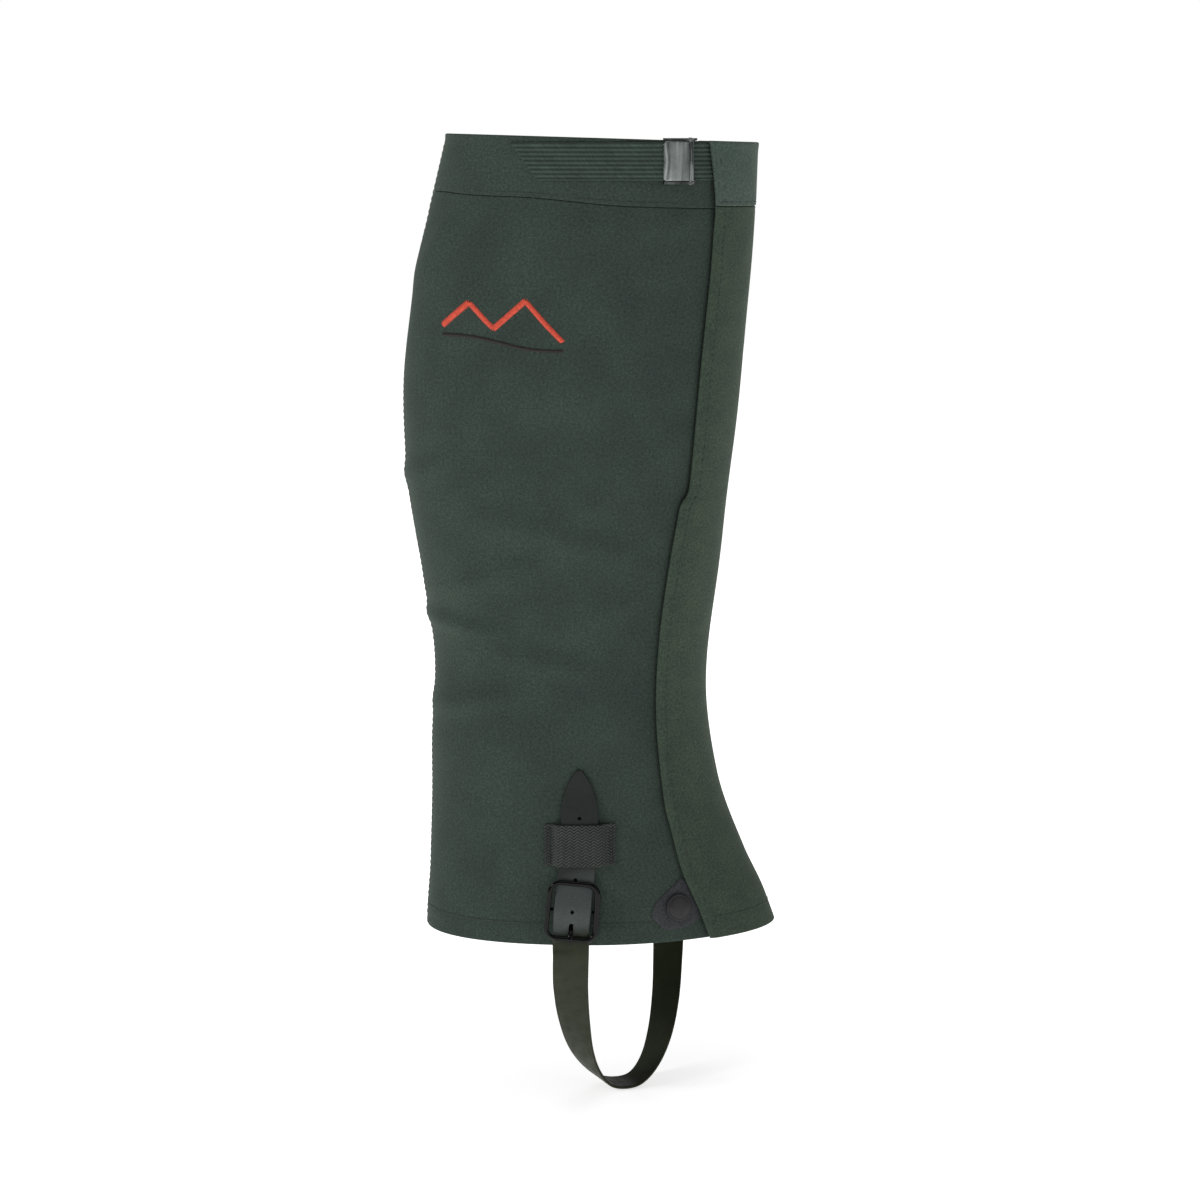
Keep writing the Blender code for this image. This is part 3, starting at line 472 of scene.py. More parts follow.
SHELL_CLOTH = Softshell("polyester softshell, brushed", "#38443d", "#333e39", 0.92)
FLAP_CLOTH = Softshell(
    "polyester softshell, brushed, lighter dye lot", "#3f4b3e", "#38453b", 0.92, blotch=14.0
)
CUFF_CLOTH = Softshell(
    "polyester softshell, pressed double", "#39453f", "#354039", 0.9, blotch=30.0, nap=0.16
)
FLAP_CUFF_CLOTH = Softshell(
    "polyester softshell, pressed double, lighter dye lot", "#4a5850", "#43514a", 0.9, nap=0.16
)
LINING = Softshell("polyester tricot, warp-knitted", "#23282a", "#1d2123", 0.95, blotch=20.0, tuft=1.2)
PATCH_CLOTH = Softshell("nylon laminate, heat-pressed", "#3b3c3f", "#343638", 0.8, blotch=9.0, nap=0.08)
INNER_TAPE = Webbing("polyester twill tape, woven", "#25292a", "#1e2223", 0.85, gloss=0.2)
HOOK_TAPE = Softshell("nylon hook tape, woven and cut", "#202423", "#191c1c", 0.8, tuft=1.3, nap=0.4)
LOOP_TAPE = Softshell("nylon loop tape, knitted and napped", "#262b29", "#1d2120", 0.95, tuft=1.0, nap=0.35)
# Its ribs carry a mild painted highlight on the crests and painted shade in the valleys.
ELASTIC = Webbing(
    "polyester elastic, rib-knitted", "#36423c", "#303b36", 0.8, rib=ELASTIC_RIB, depth=0.24, gloss=0.2
)
BLACK_WEBBING = Webbing("nylon webbing, twill-woven", "#1d2120", "#171a19", 0.5, gloss=0.3, stretch=2.0)
# Its twill carries a strong painted highlight on the crests and painted shade in the valleys.
KEEPER_WEBBING = Webbing(
    "nylon webbing, herringbone-woven",
    "#191d1b",
    "#151917",
    0.5,
    twill=TWILL_COLUMN,
    depth=0.85,
    painted_crest_highlight=3.6,
    gloss=0.3,
)
STRAP_COATING = CoatedStrap("nylon strap, PVC-coated", "#282d1a", "#222716", 0.55)
GUNMETAL = PlatedSteel("spring steel, gunmetal-plated", "#7f8482", "#747978", 0.24)
FRAME_PLATE = PlatedSteel("steel frame, black-nickel-plated", "#555957", "#4c504f", 0.3)
STEEL = PlatedSteel("steel, nickel-plated", "#a9aaa8", "#8e908f", 0.3)
BLACK_ENAMEL = Enamel("zinc, black-enamelled", "#040405", "#070809", 0.1, coat=0.0)
CAP_ENAMEL = Enamel("brass snap cap, matt-enamelled", "#2b2a2c", "#333233", 0.42, coat=0.1, peel=0.03)
ORANGE_THREAD = Thread("rayon thread, orange", "#e8563a", "#c9432b", 0.5)
BROWN_THREAD = Thread("rayon thread, dark brown", "#1f1613", "#150f0e", 0.55)
SEWING_THREAD = Thread("polyester thread, dark green", "#2c3733", "#222b28", 0.6)
BLACK_THREAD = Thread("polyester thread, black", "#141716", "#0e1010", 0.6)


# Shapes


def ease(share: Array) -> Array:
    """A smooth step from 0 to 1."""
    share = np.clip(share, 0.0, 1.0)
    return share * share * (3 - 2 * share)


def hermite(x: Array, values: Array, at: Array) -> Array:
    """Read a smooth curve through points.

    Args:
        x: Where the points are, rising.
        values: Their values, one row for each point.
        at: Where to read the curve; outside the points it holds its end values.

    Returns:
        The values, one row for each place.
    """
    slope = np.empty_like(values)
    shape = (-1,) + (1,) * (values.ndim - 1)
    slope[1:-1] = (values[2:] - values[:-2]) / (x[2:] - x[:-2]).reshape(shape)
    slope[0] = (values[1] - values[0]) / (x[1] - x[0])
    slope[-1] = (values[-1] - values[-2]) / (x[-1] - x[-2])
    at = np.clip(at, x[0], x[-1])
    i = np.clip(np.searchsorted(x, at, side="right") - 1, 0, len(x) - 2)
    span = x[i + 1] - x[i]
    t = (at - x[i]) / span
    if values.ndim > 1:
        t, span = t.reshape(shape), span.reshape(shape)
    return (
        (2 * t**3 - 3 * t**2 + 1) * values[i]
        + (t**3 - 2 * t**2 + t) * span * slope[i]
        + (3 * t**2 - 2 * t**3) * values[i + 1]
        + (t**3 - t**2) * span * slope[i + 1]
    )


@dataclass(frozen=True)
class Curve:
    """A smooth curve through (place, value) points, in millimetres."""

    points: tuple[tuple[float, float], ...]

    def at(self, place: Array | float) -> Array:
        """The curve's value at each place."""
        x, values = (np.array(part, float) for part in zip(*self.points))
        return hermite(x, values, np.asarray(place, float))


def through(points: Array, shares: Array) -> Array:
    """Read a smooth line, or several side by side, at shares of its length.

    Args:
        points: The points in order, as (count, 3) or (count, lines, 3).
        shares: Where to read it, from 0 to 1.

    Returns:
        The points there.
    """
    middle = points if points.ndim == 2 else points.mean(axis=1)
    chords = np.linalg.norm(np.diff(middle, axis=0), axis=1)
    x = np.concatenate([[0.0], np.cumsum(chords)])
    return hermite(x / x[-1], points, np.asarray(shares))


def edge_shares(count: int, length: float, radius: float) -> Array:
    """Shares from 0 to 1, closer together where an edge rounds over.

    Args:
        count: How many lie between the two rounded edges.
        length: The whole length, in millimetres.
        radius: Radius of the edge, in millimetres.

    Returns:
        The shares, rising.
    """
    edge = np.array([0.0, 0.08, 0.3, 0.6, 1.0]) * radius / length
    return np.concatenate([edge[:-1], np.linspace(edge[-1], 1 - edge[-1], count), 1 - edge[-2::-1]])


@dataclass(frozen=True)
class Spread:
    """Places on a sheet, in millimetres.

    Attributes:
        across: Distance from its first column.
        up: Distance from its first row.
        width: Its width at that row.
        height: Its height at that column.
    """

    across: Array
    up: Array
    width: Array
    height: Array

    @classmethod
    def over(cls, grid: Array) -> "Spread":
        """Measure a grid of points."""
        across = np.cumsum(np.linalg.norm(np.diff(grid, axis=1), axis=2), axis=1) / MM
        up = np.cumsum(np.linalg.norm(np.diff(grid, axis=0), axis=2), axis=0) / MM
        across = np.pad(across, ((0, 0), (1, 0)))
        up = np.pad(up, ((1, 0), (0, 0)))
        return cls(across, up, across[:, -1:] + 0 * across, up[-1:, :] + 0 * up)

    def border(self) -> Array:
        """Distance to the nearest edge."""
        return np.minimum.reduce([self.across, self.up, self.width - self.across, self.height - self.up])


Relief = Callable[[Spread], Array]


def place_mesh(
    name: str, points: Array, faces: Sequence, uv: Array | None, finish: Finish
) -> bpy.types.Object:
    """Put a mesh in the scene.

    Args:
        name: The piece's name.
        points: Its points, in metres.
        faces: Its faces, as point numbers.
        uv: One texture place for each point, or None.
        finish: Its finish.

    Returns:
        The piece.
    """
    mesh = bpy.data.meshes.new(name)
    mesh.from_pydata(points.tolist(), [], faces)
    if uv is not None:
        layer = mesh.uv_layers.new(name="cloth")
        corners = np.empty(len(mesh.loops), np.int32)
        mesh.loops.foreach_get("vertex_index", corners)
        layer.data.foreach_set("uv", uv[corners].astype(np.float32).ravel())
    mesh.shade_smooth()
    mesh.set_sharp_from_angle(angle=math.radians(60))
    mesh.materials.append(finish.made())
    piece = bpy.data.objects.new(name, mesh)
    bpy.context.scene.collection.objects.link(piece)
    return piece


def make_sheet(
    name: str,
    grid: Array,
    thick: float,
    finish: Finish,
    relief: Relief | None = None,
    back: Finish | None = None,
    even: float = 0.0,
) -> bpy.types.Object:
    """Make a closed sheet with round edges around a grid of points.

    Args:
        name: The piece's name.
        grid: Points of its middle surface, in metres; columns cross rows with the face to their right hand.
        thick: Its thickness, in millimetres.
        finish: Finish of its face.
        relief: How far its face stands out of the plain sheet, in millimetres.
        back: Finish of its back, if that differs.
        even: Its width in millimetres where a slanted cut must not spread its ribs; 0 otherwise.

    Returns:
        The piece.
    """
    spread = Spread.over(grid)
    if even:
        spread = Spread(
            spread.across, spread.up / spread.height * even, spread.width, 0 * spread.height + even
        )
    normal = np.cross(np.gradient(grid, axis=1), np.gradient(grid, axis=0))
    normal /= np.maximum(np.linalg.norm(normal, axis=2, keepdims=True), 1e-12)
    inside = np.clip(spread.border() / (thick / 2), 0.0, 1.0)
    rounding = np.maximum(np.sqrt(1 - (1 - inside) ** 2), 0.12)
    lift = relief(spread) * rounding if relief else 0.0
    face = grid + normal * ((thick / 2 * rounding + lift) * MM)[..., None]
    under = grid - normal * (thick / 2 * rounding * MM)[..., None]
    rows, columns = grid.shape[:2]
    numbers = np.arange(rows * columns).reshape(rows, columns)
    quads = np.stack(
        [numbers[:-1, :-1], numbers[:-1, 1:], numbers[1:, 1:], numbers[1:, :-1]], axis=-1
    ).reshape(-1, 4)
    rim = np.concatenate([numbers[0], numbers[1:, -1], numbers[-1, -2::-1], numbers[-2:0:-1, 0]])
    following = np.roll(rim, -1)
    shift = rows * columns
    walls = np.stack([following, rim, rim + shift, following + shift], axis=-1)
    faces = np.concatenate([quads, walls, quads[:, ::-1] + shift])
    points = np.concatenate([face.reshape(-1, 3), under.reshape(-1, 3)])
    uv = np.stack([spread.across, spread.up], axis=-1).reshape(-1, 2) * MM
    piece = place_mesh(name, points, faces.tolist(), np.concatenate([uv, uv]), finish)
    if back:
        piece.data.materials.append(back.made())
        which = np.zeros(len(faces), np.int32)
        which[len(quads) + len(walls) :] = 1
        piece.data.polygons.foreach_set("material_index", which)
    return piece


def declare_sheet(grid: Array) -> None:
    """Measure a sheet's flat size, which is not kept or used.

    Args:
        grid: Its middle surface before any relief, in metres.
    """
    spread = Spread.over(grid)


def make_bar(
    name: str,
    points: Array,
    radii: Sequence[float],
    finish: Finish,
    closed: bool = False,
    flat: float = 1.0,
    facing: Array | None = None,
) -> bpy.types.Object:
    """Make a round or flattened bar along points.

    Args:
        name: The piece's name.
        points: Its middle line, in metres.
        radii: Its radius at each point, in millimetres.
        finish: Its finish.
        closed: Whether it runs back into its start.
        flat: Its height over its width.
        facing: The way that its height is measured, if it is flattened.

    Returns:
        The piece.
    """
    corners = 20
    count = len(points)
    if closed:
        ahead = np.roll(points, -1, axis=0) - np.roll(points, 1, axis=0)
    else:
        ahead = np.gradient(points, axis=0)
    ahead /= np.linalg.norm(ahead, axis=1, keepdims=True)
    side = np.empty_like(points)
    guide = np.array([0.31, 0.11, 0.94]) if facing is None else facing
    if closed:
        guide = np.cross(points[1] - points[0], points[count // 2] - points[0])
        guide /= np.linalg.norm(guide)
    for i in range(count):
        guide = guide - ahead[i] * (guide @ ahead[i])
        guide /= np.linalg.norm(guide)
        side[i] = guide
    other = np.cross(ahead, side)
    turn = np.linspace(0, 2 * math.pi, corners, endpoint=False)
    reach = np.asarray(radii, float)[:, None, None] * MM
    rings = points[:, None] + reach * (
        other[:, None] * np.cos(turn)[None, :, None] + side[:, None] * (np.sin(turn) * flat)[None, :, None]
    )
    numbers = np.arange(count * corners).reshape(count, corners)
    following = np.roll(numbers, -1, axis=0) if closed else numbers[1:]
    first = numbers if closed else numbers[:-1]
    quads = np.stack([first, np.roll(first, -1, axis=1), np.roll(following, -1, axis=1), following], axis=-1)
    faces = quads.reshape(-1, 4)[:, ::-1].tolist()
    if not closed:
        faces += [numbers[0].tolist(), numbers[-1, ::-1].tolist()]
    return place_mesh(name, rings.reshape(-1, 3), faces, None, finish)


def make_strands(
    name: str, starts: Array, ends: Array, normals: Array, thread: float, arch: float, finish: Finish
) -> bpy.types.Object:
    """Make arched strands of thread, each from a start to an end.

    Args:
        name: The piece's name.
        starts: Where the strands come out, in metres.
        ends: Where they go in.
        normals: Which way they arch.
        thread: Their thickness, in millimetres.
        arch: How high they stand, in millimetres.
        finish: Their finish.

    Returns:
        The piece.
    """
    rings, corners = 7, 6
    t = np.linspace(0, 1, rings)
    swell = np.sin(np.pi * (0.06 + 0.88 * t))
    ahead = ends - starts
    ahead /= np.linalg.norm(ahead, axis=1, keepdims=True)
    side = np.cross(ahead, normals)
    line = starts[:, None] + (ends - starts)[:, None] * t[None, :, None]
    line = line + normals[:, None] * ((swell - 0.35) * arch * MM)[None, :, None]
    turn = np.linspace(0, 2 * math.pi, corners, endpoint=False)
    around = side[:, None] * np.cos(turn)[None, :, None] + normals[:, None] * np.sin(turn)[None, :, None]
    radius = thread / 2 * np.maximum(swell, 0.3) ** 0.4 * MM
    points = line[:, :, None] + around[:, None] * radius[None, :, None, None]
    numbers = np.arange(points.size // 3).reshape(points.shape[:3])
    low, high = numbers[:, :-1], numbers[:, 1:]
    quads = np.stack([low, np.roll(low, -1, axis=2), np.roll(high, -1, axis=2), high], axis=-1).reshape(-1, 4)
    caps = np.concatenate([numbers[:, 0, ::-1], numbers[:, -1]])
    return place_mesh(
        name, points.reshape(-1, 3), quads[:, ::-1].tolist() + caps[:, ::-1].tolist(), None, finish
    )


def ride(piece: bpy.types.Object, body: Body, slot: str, *nodes: str) -> bpy.types.Object:
    """Fix a piece to a body and hide the nodes it stands for."""
    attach(piece, body.value)
    if nodes:
        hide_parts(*nodes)
    log.info("%s rides on %s", piece.name, body.value)
    return piece


def bridge(
    piece: bpy.types.Object, bodies: tuple[
        Body, Body
    ], start: Sequence[float], end: Sequence[float], slot: str, *nodes: str
) -> bpy.types.Object:
    """Bake a piece's placement into its mesh, hide the nodes it stands for and log its two bodies."""
    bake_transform(piece)
    if nodes:
        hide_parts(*nodes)
    log.info("%s bends from %s to %s", piece.name, bodies[0].value, bodies[1].value)
    return piece


def dress_node(node: str, finish: Finish, edge: float) -> None:
    """Give a hard piece of the frame its finish and slightly broken edges.

    Args:
        node: The piece's node.
        finish: Its finish.
        edge: Width of the broken edges, in millimetres; 0 leaves them sharp.
    """
    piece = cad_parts[node]
    log.info("%s keeps its shape", node)
    for place in piece.material_slots:
        place.material = finish.made()
    if not edge:
        return
    bevel = piece.modifiers.new("broken edges", "BEVEL")
    bevel.width = edge * MM
    bevel.segments = 2
    bevel.limit_method = "ANGLE"
    bevel.angle_limit = math.radians(35)


# The leg's form


@dataclass(frozen=True)
class Seat:
    """A local frame on the shell, for hardware.

    Attributes:
        origin: Where it is, in metres.
        ahead: Towards the toe.
        outward: Out of the shell.
        up: Up the leg.
    """

    origin: Array
    ahead: Array
    outward: Array
    up: Array

    def place(self, x: Array | float, height: Array | float, z: Array | float) -> Array:
        """Local places in millimetres as points in metres."""
        x, height, z = np.broadcast_arrays(*(np.asarray(v, float)[..., None] for v in (x, height, z)))
        return self.origin + (self.ahead * x + self.outward * height + self.up * z) * MM

    def leaned(self, angle: float) -> "Seat":
        """The seat with its top turned towards the toe by an angle in radians."""
        c, s = math.cos(angle), math.sin(angle)
        return Seat(self.origin, self.ahead * c - self.up * s, self.outward, self.ahead * s + self.up * c)


@dataclass(frozen=True)
class Fold:
    """A soft crease in the cloth.

    Attributes:
        x: Where its middle is along the foot, in millimetres.
        z: Where its middle is up the leg.
        lean: Its angle above level, in degrees.
        length: Half its length.
        width: Half its width.
        height: How far it stands out.
    """

    x: float
    z: float
    lean: float
    length: float
    width: float
    height: float

    def over(self, x: Array, z: Array) -> Array:
        """Its height at each place, in millimetres."""
        c, s = math.cos(math.radians(self.lean)), math.sin(math.radians(self.lean))
        along = (x - self.x) * c + (z - self.z) * s
        aside = (z - self.z) * c - (x - self.x) * s
        return self.height * np.exp(-((aside / self.width) ** 2) - (along / self.length) ** 4)


@dataclass(frozen=True)
class LegForm:
    """The shell's outer surface: an oval at each height, with a rounder back and a sharper front.

    A turn of 0 degrees is the back, 90 the lateral side, 180 the front crease and 270 the medial side.
    """

    back_line: Curve = Curve(
        ((0, -99), (60, -95.5), (160, -93.5), (225, -102.5), (292, -110), (360, -103), (441, -84.5))
    )
    front_line: Curve = Curve(
        (
            (0, 95.5),
            (20, 88),
            (42, 78),
            (86, 62.5),
            (140, 56),
            (225, 64.5),
            (325, 75.5),
            (400, 81),
            (445, 82.5),
        )
    )
    half_depth: Curve = Curve(((0, 57), (60, 53), (150, 50), (290, 60), (441, 55)))
    front_roundness: Curve = Curve(((0, 1.75), (150, 2.1), (441, 2.3)))
    back_roundness: float = 2.35
    rim_height: float = 441.0
    rim_slope: float = -0.03
    folds: tuple[Fold, ...] = (
        Fold(-86, 388, 62, 26, 4.5, 1.1),
        Fold(-70, 372, 70, 30, 7.0, 0.6),
        Fold(-96, 262, 25, 24, 6.0, 0.7),
        Fold(-20, 226, -16, 46, 8.0, 0.8),
        Fold(-58, 205, 18, 34, 7.0, 0.9),
        Fold(-78, 176, -8, 24, 5.0, 1.0),
        Fold(8, 186, 24, 30, 6.5, 0.8),
        Fold(-34, 158, -12, 40, 7.0, 0.7),
        Fold(-70, 134, 14, 26, 6.0, 0.8),
        Fold(18, 262, 40, 34, 7.0, 0.5),
        Fold(-66, 100, 72, 40, 8.0, 0.7),
        Fold(6, 128, 78, 34, 7.0, 0.6),
        Fold(-40, 300, 12, 50, 12.0, 0.5),
    )
    waves: int = 16

    def section(self, z: Array) -> tuple[Array, Array]:
        """Middle and half length of the oval at a height."""
        back, front = self.back_line.at(z), self.front_line.at(z)
        return (back + front) / 2, (front - back) / 2

    def on_oval(self, z: Array, turn: Array) -> Array:
        """Points of the outer surface, in millimetres."""
        middle, half = self.section(z)
        along = -np.cos(np.radians(turn))
        power = np.where(along > 0, self.front_roundness.at(z), self.back_roundness)
        depth = self.half_depth.at(z) * np.maximum(1 - np.abs(along) ** power, 0.0) ** (1 / power)
        side = np.where(np.sin(np.radians(turn)) > 0, -1.0, 1.0)
        return np.stack(np.broadcast_arrays(middle + half * along, side * depth, z), axis=-1)

    def outward(self, z: Array, turn: Array) -> Array:
        """Level directions straight out of the surface."""
        tangent = self.on_oval(z, turn + 1.0) - self.on_oval(z, turn - 1.0)
        out = np.stack([tangent[..., 1], -tangent[..., 0], 0 * tangent[..., 0]], axis=-1)
        return out / np.linalg.norm(out, axis=-1, keepdims=True)

    def skin(self, z: Array | float, turn: Array | float, off: Array | float) -> Array:
        """Points a distance in millimetres outside the outer surface, in metres."""
        z, turn, off = np.broadcast_arrays(*(np.asarray(v, float) for v in (z, turn, off)))
        return (self.on_oval(z, turn) + self.outward(z, turn) * off[..., None]) * MM

    def turn_at(self, z: Array | float, x: Array | float, side: Side = Side.LATERAL) -> Array:
        """The turn where the surface reaches x at a height."""
        middle, half = self.section(np.asarray(z, float))
        turn = np.degrees(np.arccos(np.clip((middle - x) / half, -1.0, 1.0)))
        return 360 - turn if side is Side.MEDIAL else turn

    def rim(self, turn: Array) -> Array:
        """The rim's height, a little lower towards the front."""
        return self.rim_height + self.rim_slope * self.on_oval(
            np.full_like(turn, self.rim_height), turn
        )[..., 0]

    def seat(self, x: float, z: float) -> Seat:
        """The local frame at a place on the lateral side."""
        here = self.skin(z, self.turn_at(z, x), 0)
        ahead = self.skin(z, self.turn_at(z, x + 1), 0) - here
        ahead /= np.linalg.norm(ahead)
        up = self.skin(z + 1, self.turn_at(z + 1, x), 0) - here
        up -= ahead * (ahead @ up)
        up /= np.linalg.norm(up)
        return Seat(here, ahead, np.cross(ahead, up), up)

    def drape(self, z: Array, turn: Array) -> Array:
        """How far worn cloth stands out of the smooth form: slow waves and soft creases.

        Args:
            z: Heights, in millimetres.
            turn: Turns, in degrees.

        Returns:
            The distances, in millimetres.
        """
        points = self.on_oval(z, turn)
        draw = np.random.default_rng(12)
        relief = np.zeros(points.shape[:-1])
        for _ in range(self.waves):
            pitch = draw.uniform(34.0, 110.0)
            way = draw.normal(size=3) * (1.0, 1.0, 1.4)
            way /= np.linalg.norm(way)
            relief += 0.0030 * pitch * np.sin(
                points @ way * 2 * math.pi / pitch + draw.uniform(0, 2 * math.pi)
            )
        for fold in self.folds:
            relief += 2.2 * fold.over(points[..., 0], points[..., 2])
        calm = ease((z - 14) / 24) * ease((self.rim_height - 34 - z) / 16)
        near_stud = np.exp(-((np.hypot(points[..., 0] - 43, points[..., 2] - 19) / 20) ** 4))
        near_strap = np.exp(-(((points[..., 0] + 12) / 34) ** 4)) * ease((122 - z) / 24)
        lateral = np.where(points[..., 1] < 0, 1.0, 0.0)
        return relief * calm * (1 - np.maximum(near_strap, near_stud) * lateral)

    def layer(
        self,
        turns: Callable[[Array], tuple],
        heights: Callable[[Array], tuple],
        off: Callable[[Array, Array], Array],
        size: tuple[float, float],
        step: float,
        edge: float = 0.6,
    ) -> Array:
        """A grid of points over a stretch of the shell.

        Args:
            turns: Its first and last turn at a height.
            heights: Its lowest and highest edge at a turn.
            off: How far it is outside the outer surface, in millimetres.
            size: About how wide and high it is, in millimetres.
            step: Distance between its points, in millimetres.
            edge: Radius of its edges, in millimetres.

        Returns:
            The points, in metres, with rows going up and columns going round.
        """
        columns, rows = (edge_shares(max(int(length / step), 4), length, edge) for length in size)
        along, rise = np.meshgrid(columns, rows)
        z = np.full(along.shape, self.rim_height / 2)
        for _ in range(5):
            first, last = turns(z)
            turn = first + (last - first) * along
            low, high = heights(turn)
            z = low + (high - low) * rise
        return self.skin(z, turn, off(z, turn))


LEG = LegForm()


def level(off: float) -> Callable[[Array, Array], Array]:
    """A layer at one distance outside the shell."""
    return lambda z, turn: 0 * z + off


def weave(spread: Spread, pitch: float, rise: float) -> Array:
    """A herringbone twill's slanted ridges.

    Args:
        spread: Places on the band.
        pitch: Width of a column of yarn, in millimetres.
        rise: How high the ridges are.

    Returns:
        The relief, in millimetres.
    """
    climb = spread.up / (pitch * TWILL_RISE) + np.abs((spread.across / pitch) % 2 - 1)
    return rise * (0.6 * np.cos(2 * math.pi * climb) + 0.4 * np.cos(2 * math.pi * spread.across / pitch))


def stitched_line(distance: Array, along: Array, depth: float = 0.3) -> Array:
    """The dent and puckers that a line of stitches pulls into cloth.

    Args:
        distance: Distance from the line, in millimetres.
        along: Distance along it.
        depth: How deep the dent is.

    Returns:
        The relief, in millimetres.
    """
    dent = -depth * np.exp(-((distance / 0.8) ** 2))
    return dent + 0.4 * depth * np.exp(-((distance / 2.6) ** 2)) * np.cos(2 * math.pi * along / 7.0)


@dataclass
class Needlework:
    """Rows of stitches collected from several seams into one piece.

    Attributes:
        stitch: Length of a stitch, in millimetres.
        gap: Distance between two stitches.
        thread: Thickness of the thread.
    """

    stitch: float = 2.9
    gap: float = 0.7
    thread: float = 0.42
    starts: list[Array] = field(default_factory=list)
    ends: list[Array] = field(default_factory=list)
    normals: list[Array] = field(default_factory=list)

    def sew(self, line: Array, outward: Array) -> None:
        """Sew along a line.

        Args:
            line: Its points, in metres.
            outward: The way out of the cloth at each of them.
        """
        run = np.concatenate([[0.0], np.cumsum(np.linalg.norm(np.diff(line, axis=0), axis=1))]) / MM
        begin = np.arange(self.gap, run[-1] - self.stitch, self.stitch + self.gap)
        for where, found in ((begin, self.starts), (begin + self.stitch, self.ends)):
            found.append(np.stack([np.interp(where, run, line[:, k]) for k in range(3)], axis=1))
        self.normals.append(np.stack([np.interp(begin, run, outward[:, k]) for k in range(3)], axis=1))

    def lay(self, start: Array, end: Array, outward: Array) -> None:
        """Lay single strands."""
        self.starts.append(start)
        self.ends.append(end)
        self.normals.append(outward)

    def finish_as(self, name: str, arch: float, finish: Finish) -> bpy.types.Object:
        """Make everything sewn so far into one piece."""
        normals = np.concatenate(self.normals)
        normals /= np.linalg.norm(normals, axis=1, keepdims=True)
        return make_strands(
            name, np.concatenate(self.starts), np.concatenate(self.ends), normals, self.thread, arch, finish
        )


# Sub-assemblies


